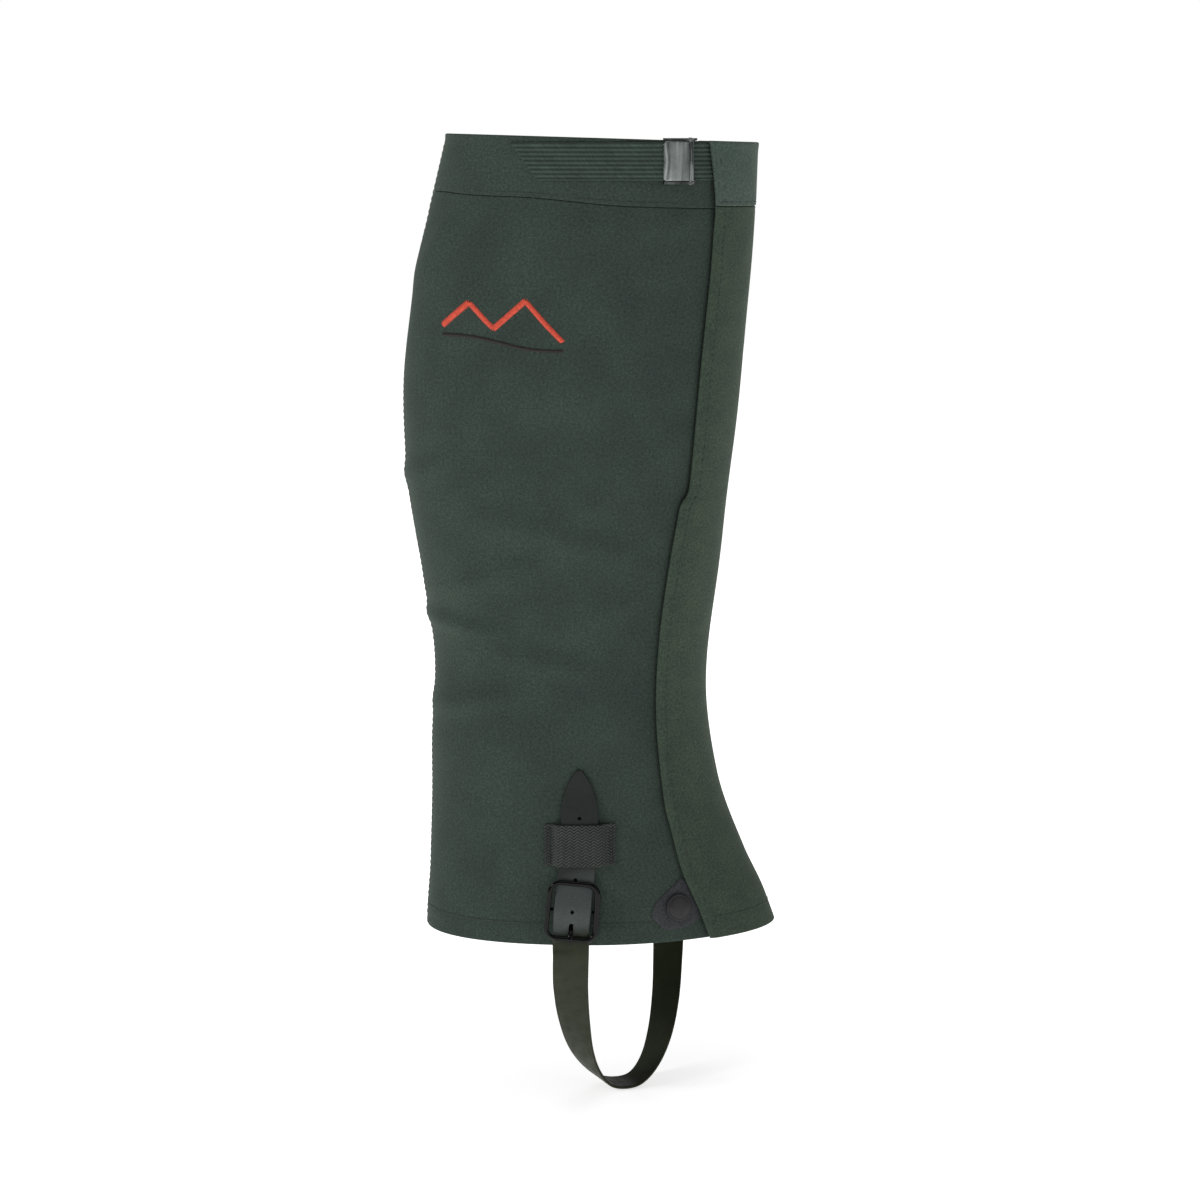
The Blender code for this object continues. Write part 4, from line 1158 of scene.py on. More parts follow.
@dataclass
class ShellFabric:
    """Panels, cuffs, inner tapes and the underlap behind the front opening.

    Attributes:
        panel: Thickness of the soft-shell, in millimetres.
        cuff: Thickness of the folded cuff band.
        cuff_height: Height of the cuff band at the back.
        cuff_dip: How much lower its seam runs beside the flap.
        hem: Height of the hem's stitching.
        opening: Turns where the two panels end at the front.
    """

    panel: float = 1.2
    cuff: float = 1.7
    cuff_height: float = 32.0
    cuff_dip: float = 3.4
    hem: float = 12.0
    opening: tuple[float, float] = (168.0, 188.0)
    back_gap: float = 0.35

    def seam(self, turn: Array) -> Array:
        """Height of the seam between panel and cuff."""
        away = np.minimum(turn, 360 - turn)
        dip = self.cuff_dip * ease((away - 62) / 46) - 1.2 * np.exp(-(((away - 20) / 16) ** 2))
        return LEG.rim(turn) - self.cuff_height - dip

    def turns(self, side: Side) -> tuple[float, float]:
        """First and last turn of one side's panels."""
        if side is Side.LATERAL:
            return self.back_gap, self.opening[0]
        return self.opening[1], 360 - self.back_gap

    def panel_off(self, z: Array, turn: Array) -> Array:
        """The panel's middle surface, calmer where the flap lies over it."""
        x = LEG.on_oval(z, turn)[..., 0]
        cover = ease((x - FrontClosure.edge_line(z) + 16) / 14)
        relief = LEG.drape(z, turn)
        return relief * (1 - cover) - self.panel / 2

    def panel_relief(self, spread: Spread) -> Array:
        """Hem and seam stitching dented into the panel."""
        hem = stitched_line(spread.up - self.hem, spread.across)
        top = stitched_line(spread.height - spread.up - 2.2, spread.across, 0.14)
        near = np.minimum(spread.across, spread.width - spread.across)
        return hem + top + stitched_line(near - 4.5, spread.up, 0.22)

    def cuff_relief(self, spread: Spread) -> Array:
        """The pressed fold at the rim and the seam's dent."""
        low = stitched_line(spread.up - 2.2, spread.across, 0.16)
        top = 0.25 * np.exp(-(((spread.height - spread.up - 1.5) / 2.2) ** 2))
        slow = 0.22 * np.sin(spread.across / 17) * np.sin(spread.up / 9 + spread.across / 40)
        return low + top + slow

    def build_sides(self) -> None:
        """Make the two panels and the two cuffs."""
        for side, label in ((Side.LATERAL, "lateral"), (Side.MEDIAL, "medial")):
            turns = self.turns(side)
            grid = LEG.layer(
                lambda z: turns, lambda t: (
                    0 * t, self.seam(t) - 0.2
                ), self.panel_off, (232, 408), 1.9, self.panel / 2
            )
            piece = make_sheet(
                f"{label}_softshell_panel", grid, self.panel, SHELL_CLOTH, self.panel_relief, LINING
            )
            ride(piece, Body.SHELL, "shell_fabric", f"{label}_panel")
            declare_sheet(grid)
            grid = LEG.layer(
                lambda z: turns, lambda t: (
                    self.seam(t), LEG.rim(t)
                ), level(-self.cuff / 2), (225, 34), 1.3, self.cuff / 2
            )
            piece = make_sheet(f"{label}_cuff_band", grid, self.cuff, CUFF_CLOTH, self.cuff_relief)
            ride(piece, Body.SHELL, "cuff_fabric", f"{label}_cuff")
            declare_sheet(grid)

    def build_inside(self) -> None:
        """Make the back seam tape, the hem facings and the underlap."""
        rim = LEG.rim

        def ribs(spread: Spread) -> Array:
            """The slanted ribs of twill tape."""
            return 0.08 * np.cos(2 * math.pi * (spread.across + spread.up) / 1.6)

        tape = LEG.layer(
            lambda z: (-9.0, 9.0), lambda t: (13.5 + 0 * t, rim(t) - 3), level(-3.1), (26, 425), 1.6, 0.35
        )
        piece = make_sheet("back_seam_binding", tape, 0.7, INNER_TAPE, ribs)
        ride(piece, Body.SHELL, "inner_tape", "back_seam_tape")
        declare_sheet(tape)
        for label, turns in (("lateral", (2.0, 145.0)), ("medial", (212.0, 358.0))):
            grid = LEG.layer(
                lambda z: turns, lambda t: (0.5 + 0 * t, 12.5 + 0 * t), level(-1.9), (200, 12), 1.2, 0.35
            )
            piece = make_sheet(f"{label}_hem_band", grid, 0.7, INNER_TAPE, ribs)
            ride(piece, Body.SHELL, "inner_tape", f"{label}_hem_facing")
            declare_sheet(grid)
        grid = LEG.layer(
            lambda z: (150.0, 208.0), lambda t: (1.0 + 0 * t, rim(t) - 4), level(-3.8), (76, 436), 2.2
        )
        piece = make_sheet("softshell_underlap", grid, 1.2, SHELL_CLOTH, None, LINING)
        ride(piece, Body.SHELL, "shell_fabric", "underlap")
        declare_sheet(grid)

    def build_stitching(self) -> None:
        """Sew the hem, the cuff seam and the back seam."""
        rows = Needlework()
        for side in Side:
            first, last = self.turns(side)
            turn = np.linspace(first + 3, last - 3, 240)
            hem_x = LEG.on_oval(self.hem + 0 * turn, turn)[..., 0]
            shown = (hem_x < FrontClosure.edge_line(np.array(self.hem)) - 1) | (np.sin(np.radians(turn)) < 0)
            for height in (self.hem + 0 * turn, self.seam(turn) + 2.2):
                path = turn[shown]
                z = height[shown]
                lift = self.panel_off(z, path) + self.panel / 2 if z[0] < 100 else 0 * z
                rows.sew(LEG.skin(z, path, lift - 0.12), LEG.outward(z, path))
            z = np.linspace(3, self.rim_height_at_back() - 3, 300)
            reach = 4.5 / (LEG.half_depth.at(z) * 0.06)
            path = reach if side is Side.LATERAL else 360 - reach
            lift = np.where(z < self.rim_height_at_back() - 34, self.panel_off(z, path) + self.panel / 2, 0)
            rows.sew(LEG.skin(z, path, lift - 0.1), LEG.outward(z, path))
        piece = rows.finish_as("shell_topstitching", 0.32, SEWING_THREAD)
        ride(piece, Body.SHELL, "shell_fabric")

    def rim_height_at_back(self) -> float:
        """The rim's height at the back seam."""
        return float(LEG.rim(np.array(0.0)))

    def build(self) -> None:
        """Make the whole shell."""
        self.build_sides()
        self.build_inside()
        self.build_stitching()


@dataclass
class FrontClosure:
    """The front flap with its cuff band and stitching, and the hook and loop tapes under it.

    Attributes:
        middle: How far the flap's middle surface is outside the shell, in millimetres.
        thick: Its thickness.
        cuff_height: Height of its cuff band.
        edge_stitch: Distance of the stitching from its edge.
        tape: Width of the hook and loop tapes.
        tape_heights: Where the tapes start and end up the leg.
    """

    middle: float = 3.1
    thick: float = 1.3
    cuff_height: float = 34.0
    edge_stitch: float = 5.0
    tape: float = 20.0
    tape_heights: tuple[float, float] = (36.0, 398.0)

    EDGE = Curve(
        (
            (0, 60.5), (17, 54), (38, 45), (60, 39), (79, 34.5), (128, 30), (171, 32), (210, 37.5),
            (255, 46), (319, 53), (400, 60), (445, 56),
        )
    )
    ROOT = Curve(((0, 55), (140, 40), (290, 52), (441, 55)))
    BEND = ((0.0475, 0.0365, 0.22), (0.0550, 0.0290, 0.22))

    @classmethod
    def edge_line(cls, z: Array) -> Array:
        """The flap's free edge, with the step that wear has pulled into it."""
        step = 1.9 * np.tanh((z - 247) / 3.2) * np.exp(-np.abs(z - 247) / 40)
        return cls.EDGE.at(z) + step

    def turns(self, z: Array) -> tuple[Array, Array]:
        """First and last turn of the flap at a height."""
        return LEG.turn_at(z, self.edge_line(z)), LEG.turn_at(z, self.ROOT.at(z), Side.MEDIAL)

    def off(self, z: Array, turn: Array) -> Array:
        """The flap's middle surface: low at its free edge, sewn down at its root, waving a little between."""
        first, last = self.turns(z)
        x = LEG.on_oval(z, turn)[..., 0]
        from_edge = np.where(turn < 180, x - self.edge_line(z), 99.0)
        from_root = np.where(turn > 180, x - self.ROOT.at(z), 99.0)
        low = 1.1 * (1 - ease((from_edge + 0.5) / 4.0)) * ease((402 - z) / 12)
        sewn = 2.0 * (1 - ease(from_root / 7.0))
        middle = np.clip((turn - first) / (last - first), 0.0, 1.0)
        swell = 0.5 * np.sin(np.pi * middle) ** 0.7
        wave = 0.45 * np.sin(z / 21 + 2.2 * middle) * np.sin(z / 47 + 1.0) * np.sin(np.pi * middle)
        return self.middle - low - sewn + swell + wave

    def relief(self, spread: Spread) -> Array:
        """The turned edge, raised, with its stitching; and the hem's stitching."""
        fold = 0.28 * (1 - ease((spread.across - self.edge_stitch) / 1.6))
        stitches = stitched_line(spread.across - self.edge_stitch, spread.up, 0.34)
        hem = stitched_line(spread.up - 12.0, spread.across, 0.25)
        root = stitched_line(spread.width - spread.across - 4.0, spread.up, 0.25)
        top = stitched_line(spread.height - spread.up - 2.0, spread.across, 0.12)
        return fold + stitches + hem + root + top

    def cuff_relief(self, spread: Spread) -> Array:
        """The flap's pressed cuff, with its turned edge and seam."""
        fold = 0.3 * (1 - ease((spread.across - self.edge_stitch) / 1.6))
        stitches = stitched_line(spread.across - self.edge_stitch, spread.up, 0.4)
        low = stitched_line(spread.up - 2.0, spread.across, 0.2)
        top = 0.25 * np.exp(-(((spread.height - spread.up - 1.5) / 2.2) ** 2))
        return fold + stitches + low + top

    def build_flap(self) -> None:
        """Make the flap and its cuff band."""

        def seam(turn: Array) -> Array:
            """Height of the seam under the cuff band."""
            return LEG.rim(turn) - self.cuff_height

        def cuff_off(z: Array, turn: Array) -> Array:
            """The cuff band's middle surface, just outside the flap's."""
            return self.off(z, turn) + 0.15

        bodies = (Body.SHELL, Body.FLAP)
        grid = LEG.layer(
            self.turns, lambda t: (0 * t, seam(t) - 0.2), self.off, (118, 406), 1.4, self.thick / 2
        )
        piece = make_sheet("softshell_front_flap", grid, self.thick, FLAP_CLOTH, self.relief, LINING)
        bridge(piece, bodies, *self.BEND, "flap_fabric", "front_flap")
        declare_sheet(grid)
        grid = LEG.layer(self.turns, lambda t: (seam(t), LEG.rim(t) + 0.3), cuff_off, (120, 34), 1.1, 0.8)
        piece = make_sheet("front_flap_cuff_band", grid, 1.6, FLAP_CUFF_CLOTH, self.cuff_relief, LINING)
        bridge(piece, bodies, *self.BEND, "cuff_fabric", "flap_cuff")
        declare_sheet(grid)

    def build_tapes(self) -> None:
        """Make the hook tape on the panel and the loop tape inside the flap."""

        def tape_turns(z: Array) -> tuple[Array, Array]:
            """First and last turn of the tapes at a height."""
            edge = self.EDGE.at(z)
            middle, half = LEG.section(z)
            return LEG.turn_at(z, edge + 4), LEG.turn_at(
                z, np.minimum(edge + 4 + self.tape, middle + half - 2.5)
            )

        def heights(turn: Array) -> tuple[Array, Array]:
            """Lowest and highest edge of the tapes at a turn."""
            return self.tape_heights[0] + 0 * turn, self.tape_heights[1] + 0 * turn

        def rows(spread: Spread) -> Array:
            """The tape's rows of hooks or loops."""
            across = np.cos(2 * math.pi * spread.across / 1.7)
            return 0.14 * across * np.cos(2 * math.pi * spread.up / 1.9)

        for name, node, off, finish, body in (
            ("hook_strip", "hook_tape", 0.6, HOOK_TAPE, Body.SHELL),
            ("loop_strip", "loop_tape", 1.6, LOOP_TAPE, Body.FLAP),
        ):
            grid = LEG.layer(tape_turns, heights, level(off), (21, 362), 0.85, 0.2)
            if body is Body.FLAP:
                grid = grid[:, ::-1]
            piece = make_sheet(name, grid, 0.4, finish, rows)
            ride(piece, body, "hook_and_loop", node)
            declare_sheet(grid)

    def build_stitching(self) -> None:
        """Sew along the flap's edge, its hem, its root and its cuff seam."""
        rows = Needlework()
        z = np.linspace(3, 437, 420)
        edge, root = self.turns(z)
        first = LEG.turn_at(z, self.edge_line(z) + self.edge_stitch * 0.92)
        last = LEG.turn_at(z, self.ROOT.at(z) + 3.6, Side.MEDIAL)
        for turn in (first, last):
            rows.sew(LEG.skin(z, turn, self.off(z, turn) + self.thick / 2 + 0.02), LEG.outward(z, turn))
        for height in (12.0, None):
            turn = np.linspace(float(edge[9]) + 4, float(root[9]) - 3, 160)
            if height is None:
                turn = np.linspace(float(edge[-9]) + 5, float(root[-9]) - 3, 160)
            z_line = 0 * turn + height if height else LEG.rim(turn) - self.cuff_height + 2.0
            lift = self.off(z_line, turn) + self.thick / 2 + (0.05 if height else 0.2)
            rows.sew(LEG.skin(z_line, turn, lift), LEG.outward(z_line, turn))
        piece = rows.finish_as("flap_topstitching", 0.3, SEWING_THREAD)
        bridge(piece, (Body.SHELL, Body.FLAP), *self.BEND, "flap_fabric")

    def build(self) -> None:
        """Make the whole closure."""
        self.build_flap()
        self.build_tapes()
        self.build_stitching()


@dataclass
class TopStrap:
    """Elastic webbing round the cuff, with its cam buckle and the webbing that anchors it.

    Attributes:
        middle: Height of the strap's middle line up the leg, in millimetres.
        width: Its width.
        thick: Its thickness.
        gap: Its clearance to the cuff.
        cam_x: Where the buckle sits along the foot.
        end_turn: Turn where it is sewn to the medial cuff.
    """

    middle: float = 428.8
    width: float = 20.0
    thick: float = 1.2
    gap: float = 0.5
    cam_x: float = 42.0
    end_turn: float = 222.0
    tail: tuple[float, float] = (-33.0, -47.5)
    pin: tuple[float, float] = (4.5, 5.0)
    rear_bar: tuple[float, float, float] = (-8.2, 2.1, 0.8)

    def seat(self) -> Seat:
        """The buckle's local frame."""
        return LEG.seat(self.cam_x, self.middle)

    def strap_lines(self) -> Array:
        """Lines along the strap, from its cut end to its seam, in metres."""
        seat = self.seat()
        rest = self.thick / 2 + self.gap
        behind = ((-40, rest), (-30, rest + 0.6), (-24, 2.9), (-19, 3.1), (-14.5, 3.4))
        buckled = (
            (-11, 4.1), (-8.2, 5.0), (-5.6, 3.6), (-3.4, 2.4), (-1, 2.2), (3, 2.2), (6, 2.2), (8.6, 2.1)
        )
        ahead = ((11.5, 1.9), (14, 1.4), (17, rest), (22, rest))
        lines = []
        for share in np.linspace(0, 1, 5):
            rise = (share - 0.5) * self.width
            z = self.middle + rise
            cut = self.tail[0] + (self.tail[1] - self.tail[0]) * share
            flat = np.linspace(cut, self.cam_x + behind[0][0], 5)[:-1]
            line = [LEG.skin(z, LEG.turn_at(z, x), rest) for x in flat]
            line += [LEG.skin(z, LEG.turn_at(z, self.cam_x + x), height) for x, height in behind]
            line += [seat.place(x, height, rise) for x, height in buckled]
            line += [LEG.skin(z, LEG.turn_at(z, self.cam_x + x), height) for x, height in ahead]
            last = float(LEG.turn_at(z, self.cam_x + ahead[-1][0]))
            line += [LEG.skin(z, turn, rest) for turn in np.linspace(last, self.end_turn, 19)[1:]]
            lines.append(line)
        return np.array(lines)

    def relief(self, spread: Spread) -> Array:
        """Lengthwise ribs with the fine steps of the knit."""
        ribs = 0.24 * np.cos(2 * math.pi * spread.up / ELASTIC_RIB)
        return ribs * (1 + 0.18 * np.cos(2 * math.pi * spread.across / 1.5))

    def build_strap(self) -> None:
        """Make the elastic strap."""
        lines = through(self.strap_lines(), edge_shares(58, self.width, self.thick / 2))
        grid = through(lines.transpose(1, 0, 2), edge_shares(300, 240, self.thick / 2)).transpose(1, 0, 2)
        piece = make_sheet(
            "elastic_top_strap", grid, self.thick - 0.25, ELASTIC, self.relief, even=self.width
        )
        ride(piece, Body.SHELL, "elastic_webbing", "top_strap")
        declare_sheet(grid)

    def build_lever(self) -> None:
        """Make the lever: a crowned plate with round corners, on a toothed barrel."""
        seat = self.seat()
        half, corner = 10.4, 1.8
        path = np.array([(-11.0, 5.9), (-8.0, 6.35), (-4.0, 6.6), (0.0, 6.5), (3.2, 6.0), (5.4, 5.0)])
        line = through(np.column_stack([path, np.zeros(len(path))]), edge_shares(36, 17.0, 0.5))
        distance = line[:, 0] - path[0, 0]
        inset = corner - np.sqrt(np.maximum(corner**2 - np.maximum(corner - distance, 0) ** 2, 0))
        shares = edge_shares(40, 2 * half, 0.5) * 2 - 1
        z = (half - inset)[None, :] * shares[:, None]
        crown = 0.45 * (1 - (z / half) ** 2) - 0.1
        grid = seat.place(line[:, 0][None] + 0 * z, line[:, 1][None] + crown * 0.6, z)

        def dish(spread: Spread) -> Array:
            """The groove pressed along the plate's edge."""
            return -0.16 * np.exp(-(((spread.across - 2.4) / 0.7) ** 2))

        plate = make_sheet("cam_lever_plate", grid, 1.0, GUNMETAL, dish)
        ride(plate, Body.LEVER, "gunmetal", "cam_lever")
        turn = np.linspace(0, 2 * math.pi, 73)[:-1]
        teeth = 1.62 + 0.2 * np.sign(np.sin(turn * 12))
        x, height = self.pin[0] + teeth * np.cos(turn), self.pin[1] + teeth * np.sin(turn)
        ends = np.array([-10.4, -10.2, 10.2, 10.4])
        scale = np.array([0.9, 1.0, 1.0, 0.9])
        rings = seat.place(
            self.pin[0] + (x - self.pin[0])[None] * scale[:, None],
            self.pin[1] + (height - self.pin[1])[None] * scale[:, None],
            ends[:, None] + 0 * x[None],
        )
        numbers = np.arange(rings.size // 3).reshape(rings.shape[:2])
        nearby = np.roll(numbers, -1, axis=1)
        quads = np.stack(
            [numbers[:-1], numbers[1:], nearby[1:], nearby[:-1]], axis=-1
        ).reshape(-1, 4).tolist()
        faces = quads + [numbers[0].tolist(), numbers[-1, ::-1].tolist()]
        barrel = place_mesh("cam_lever_barrel", rings.reshape(-1, 3), faces, None, GUNMETAL)
        ride(barrel, Body.LEVER, "gunmetal")

    def build_anchor(self) -> None:
        """Make the webbing that loops round the frame's rear bar and is sewn to the cuff."""
        seat = self.seat()
        bar_x, bar_height, bar_radius = self.rear_bar
        wrap = bar_radius + 0.65
        turn = np.linspace(2 * math.pi, math.pi, 7)
        loops = np.stack([bar_x - wrap * np.sin(turn), bar_height - wrap * np.cos(turn)], axis=1)
        spots = [(x, 0.75) for x in (-25, -21, -17, -13.5)]
        lines = []

        def on_cuff(z: float, x: float, height: float) -> Array:
            """A place on the cuff, at a distance from the buckle along the strap."""
            return LEG.skin(z, LEG.turn_at(z, self.cam_x + x), height)

        for rise in np.linspace(-9, 9, 5):
            z = self.middle + rise
            line = [on_cuff(z, x, h) for x, h in spots]
            line += [seat.place(x, h, rise) for x, h in loops]
            line += [on_cuff(z, x, h) for x, h in ((-12, 2.8), (-15.5, 1.85), (-20, 1.8))]
            lines.append(line)
        lines = through(np.array(lines), edge_shares(34, 18, 0.3))
        grid = through(lines.transpose(1, 0, 2), edge_shares(70, 32, 0.3)).transpose(1, 0, 2)
        piece = make_sheet(
            "cam_anchor_webbing", grid[::-1], 0.6, BLACK_WEBBING, lambda s: weave(s, 1.5, 0.08)
        )
        ride(piece, Body.SHELL, "black_webbing", "cam_anchor")

    def build(self) -> None:
        """Make strap and buckle."""
        self.build_strap()
        self.build_lever()
        self.build_anchor()
        dress_node("cam_frame", FRAME_PLATE, 0.0)
        dress_node("cam_pin", STEEL, 0.2)


@dataclass
class InstepStrap:
    """The strap under the boot, with its buckle, prong, keeper and tab.

    Attributes:
        width: Width of the strap, in millimetres.
        thick: Its thickness.
        foot_x: Where it crosses the hem along the foot.
        lean: How far its top leans to the front, and over what rise.
        buckle_z: Height of the buckle's centre bar.
        buckle_half: Half the buckle's outer width and height.
        bar: Radius of its rim, and how far the rim stands off the panel.
        centre_bar: Radius and height of its centre bar.
        keeper: The keeper's back, front, lowest and highest edge.
        hole_pitch: Distance between the punched holes.
        medial_x: Where the strap is sewn to the medial panel.
    """

    width: float = 20.0
    thick: float = 1.6
    foot_x: float = -16.0
    lean: tuple[float, float] = (4.6, 70.0)
    buckle_z: float = 20.0
    buckle_half: tuple[float, float] = (14.75, 17.0)
    bar: tuple[float, float] = (1.4, 4.8)
    centre_bar: tuple[float, float] = (0.9, 2.5)
    keeper: tuple[float, float, float, float] = (-30.4, 8.2, 44.8, 68.2)
    hole_pitch: float = 17.2
    medial_x: float = 40.0
    loop_top: float = -5.5
    tip: tuple[float, float] = (68.5, 98.4)

    def middle_x(self, z: Array) -> Array:
        """The strap's middle line on the lateral panel."""
        shift, rise = self.lean
        return self.foot_x + shift * ease(np.asarray(z) / rise)

    def height(self, z: Array) -> Array:
        """How far the buckled strap lies off the panel, under and over the bars."""
        low = 0.4 + 0.8 + 0.4 + self.thick / 2
        high = self.centre_bar[1] + 1.9 + 0.5 + self.thick / 2
        reach = self.buckle_half[1] - self.bar[0]
        away = np.abs(z - self.buckle_z) / reach
        past = low + (0.4 + self.thick / 2 - low) * ease((z - self.keeper[3]) / 20)
        return np.where(z > self.keeper[3], past, high + (low - high) * ease(away))

    def half_width(self, z: Array) -> Array:
        """Half the strap's width, drawn in to a point at its tip."""
        t = np.clip((z - self.tip[0]) / (self.tip[1] - self.tip[0]), 0, 1)
        point = self.width / 2 * np.maximum(1 - t**2.2, 0.0) ** 0.75 + 0.4 * (t > 0)
        return np.where(z <= self.tip[0], self.width / 2, np.minimum(point, self.width / 2))

    def route(self) -> list[tuple[tuple[float, float, float], float]]:
        """The loop's route from the lateral hem, under the boot's arch and up to the medial hem.

        Returns:
            Points of its middle in millimetres, each with the angle in degrees that its width is
            turned about the vertical from +X towards -Y.
        """
        start = LEG.skin(0, LEG.turn_at(0, self.foot_x), self.height(np.array(0.0))) / MM
        end = LEG.skin(0, LEG.turn_at(0, self.medial_x, Side.MEDIAL), 0.5 + self.thick / 2) / MM
        return [
            ((start[0], start[1], self.loop_top), 0),
            ((start[0] - 0.2, start[1] + 4, -14), 4),
            ((start[0] - 0.2, start[1] + 12, -28), 12),
            ((-14.6, -34, -50), 26),
            ((-10.6, -20.5, -72), 44),
            ((-3.5, -10.0, -88.0), 60),
            ((5.5, -4.0, -96.5), 70),
            ((19.0, 0.0, -96.5), 70),
            ((28.0, 5.0, -88.0), 62),
            ((34.5, 13.0, -73), 50),
            ((38.3, 25.0, -54), 40),
            ((39.8, 38.0, -34), 33),
            ((end[0], end[1] - 3.5, -16), 27),
            ((end[0], end[1], self.loop_top), 24),
        ]

    def strap_lines(self) -> Array:
        """Lines along the strap from its medial seam, under the boot, to its tip, in metres."""
        shares = np.linspace(-1, 1, 5)
        rows = []
        for z in (36, 29, 22, 14, 6, 1.5):
            turn = LEG.turn_at(z, self.medial_x + self.width / 2 * shares * 0.92, Side.MEDIAL)
            rows.append(LEG.skin(z, turn, 0.5 + self.thick / 2))
        for point, turned in reversed(self.route()):
            way = np.array([math.cos(math.radians(turned)), -math.sin(math.radians(turned)), 0.0])
            rows.append((np.array(point) + way * (self.width / 2 * shares)[:, None]) * MM)
        heights = np.concatenate(
            [np.linspace(-1, 40, 21), [45, 52, 60, 66, 70, 75, 80, 85, 89, 92.5, 95.5, 97.4, 98.4]]
        )
        for z in heights:
            turn = LEG.turn_at(z, self.middle_x(z) + self.half_width(z) * shares)
            rows.append(LEG.skin(z, turn, self.height(z)))
        return np.array(rows)

    def strap_relief(self, spread: Spread) -> Array:
        """The rolled edges of the coating and its faint lengthwise cords."""
        aside = np.minimum(spread.across, spread.width - spread.across)
        groove = -0.12 * np.exp(-(((aside - 1.7) / 0.35) ** 2))
        return groove + 0.03 * np.cos(2 * math.pi * spread.across / 1.3)

    def seat(self) -> Seat:
        """The buckle's local frame, leaned with the strap."""
        slope = float(self.middle_x(self.buckle_z + 1) - self.middle_x(self.buckle_z - 1)) / 2
        return LEG.seat(float(self.middle_x(self.buckle_z)), self.buckle_z).leaned(math.atan(slope))

    def cut_holes(self, piece: bpy.types.Object) -> None:
        """Punch the strap's holes and the slot that the prong stands in."""
        cutters = []
        for k in range(4):
            z = self.buckle_z + self.hole_pitch * k
            seat = LEG.seat(float(self.middle_x(z)), z)
            line = seat.place(np.zeros(2), np.array([0.2, 9.0]), np.zeros(2))
            cutters.append(make_bar("punch", line, [1.05, 1.05], BLACK_ENAMEL))
        seat = self.seat()
        for z in np.linspace(-11.4, -8.0, 4):
            line = seat.place(np.zeros(2), np.array([-1.0, 9.0]), np.full(2, z))
            cutters.append(make_bar("punch", line, [1.25, 1.25], BLACK_ENAMEL))
        for cutter in cutters:
            step = piece.modifiers.new("punched", "BOOLEAN")
            step.operation = "DIFFERENCE"
            step.object = cutter
        bpy.context.view_layer.update()
        result = bpy.data.meshes.new_from_object(piece.evaluated_get(bpy.context.evaluated_depsgraph_get()))
        piece.modifiers.clear()
        piece.data = result
        for cutter in cutters:
            bpy.data.objects.remove(cutter, do_unlink=True)

    def build_strap(self) -> None:
        """Make the strap in one piece."""
        lines = through(self.strap_lines(), edge_shares(420, 400, self.thick / 2))
        grid = through(
            lines.transpose(1, 0, 2), edge_shares(26, self.width, self.thick / 2)
        ).transpose(1, 0, 2)
        piece = make_sheet("instep_strap", grid, self.thick, STRAP_COATING, self.strap_relief)
        self.cut_holes(piece)
        nodes = ("instep_strap_tail", "instep_strap_loop", "instep_strap_medial_end")
        bridge(piece, (Body.SHELL, Body.LOOP), (0, 0, 0.002), (0, 0, -0.014), "instep_rubber", *nodes)
        declare_sheet(grid)

    def build_buckle(self) -> None:
        """Make the buckle's rim and centre bar, and the prong."""
        seat = self.seat()
        radius, stand = self.bar
        half_x, half_z, corner = self.buckle_half[0] - radius, self.buckle_half[1] - radius, 5.8
        sides = []
        for quarter, (sign_x, sign_z) in enumerate(((1, 1), (-1, 1), (-1, -1), (1, -1))):
            turn = np.radians(90 * quarter + np.linspace(0, 90, 15))
            middle = np.array([sign_x * (half_x - corner), sign_z * (half_z - corner)])
            sides.append(middle + corner * np.stack([np.cos(turn), np.sin(turn)], axis=1))
        ring = np.vstack([*sides, sides[0][:1]])
        run = np.concatenate([[0.0], np.cumsum(np.linalg.norm(np.diff(ring, axis=0), axis=1))])
        at = np.linspace(0, run[-1], 161)[:-1]
        x, z = (np.interp(at, run, ring[:, k]) for k in range(2))
        outline = seat.place(x * (1 - 0.0016 * z), stand + 0 * x, z)
        cast = radius * (1 + 0.16 * ease(x / half_x) - 0.1 * ease(-x / half_x))
        rim = make_bar("instep_buckle_rim", outline, cast, BLACK_ENAMEL, closed=True, flat=0.85)
        ride(rim, Body.SHELL, "black_enamel", "instep_buckle")
        bar_radius, bar_stand = self.centre_bar
        dip = [
            (-half_x, stand),
            (-half_x + 0.6, stand - 0.6),
            (-half_x + 1.6, bar_stand + 0.25),
            (-half_x + 2.8, bar_stand),
        ]
        across = np.array(dip + [(-x, h) for x, h in reversed(dip)])
        line = through(seat.place(across[:, 0], across[:, 1], np.zeros(len(across))), np.linspace(0, 1, 48))
        bar = make_bar("instep_buckle_centre_bar", line, [bar_radius] * len(line), BLACK_ENAMEL)
        ride(bar, Body.SHELL, "black_enamel")

        path = [
            (bar_stand - 0.1, -1.4),
            (1.9, -3.6),
            (1.8, -6.2),
            (3.4, -9.0),
            (6.6, -12.4),
            (7.6, -15.2),
            (7.0, -17.9),
        ]
        path = np.array(path)
        shares = np.linspace(0, 1, 48)
        line = through(seat.place(np.zeros(len(path)), path[:, 0], path[:, 1]), shares)
        thickness = 0.65 + 0.75 * ease((shares - 0.4) / 0.3) - 0.7 * ease((shares - 0.9) / 0.1)
        prong = make_bar("buckle_prong_pin", line, thickness, BLACK_ENAMEL, flat=0.6, facing=seat.outward)
        ride(prong, Body.PRONG, "black_enamel", "buckle_prong")
        turn = np.linspace(0, 2 * math.pi, 37)[:-1]
        ring = seat.place(0 * turn, bar_stand + 1.55 * np.cos(turn), 1.55 * np.sin(turn))
        eye = make_bar("buckle_prong_eye", ring, [0.36] * len(ring), BLACK_ENAMEL, closed=True, flat=3.2)
        ride(eye, Body.PRONG, "black_enamel")

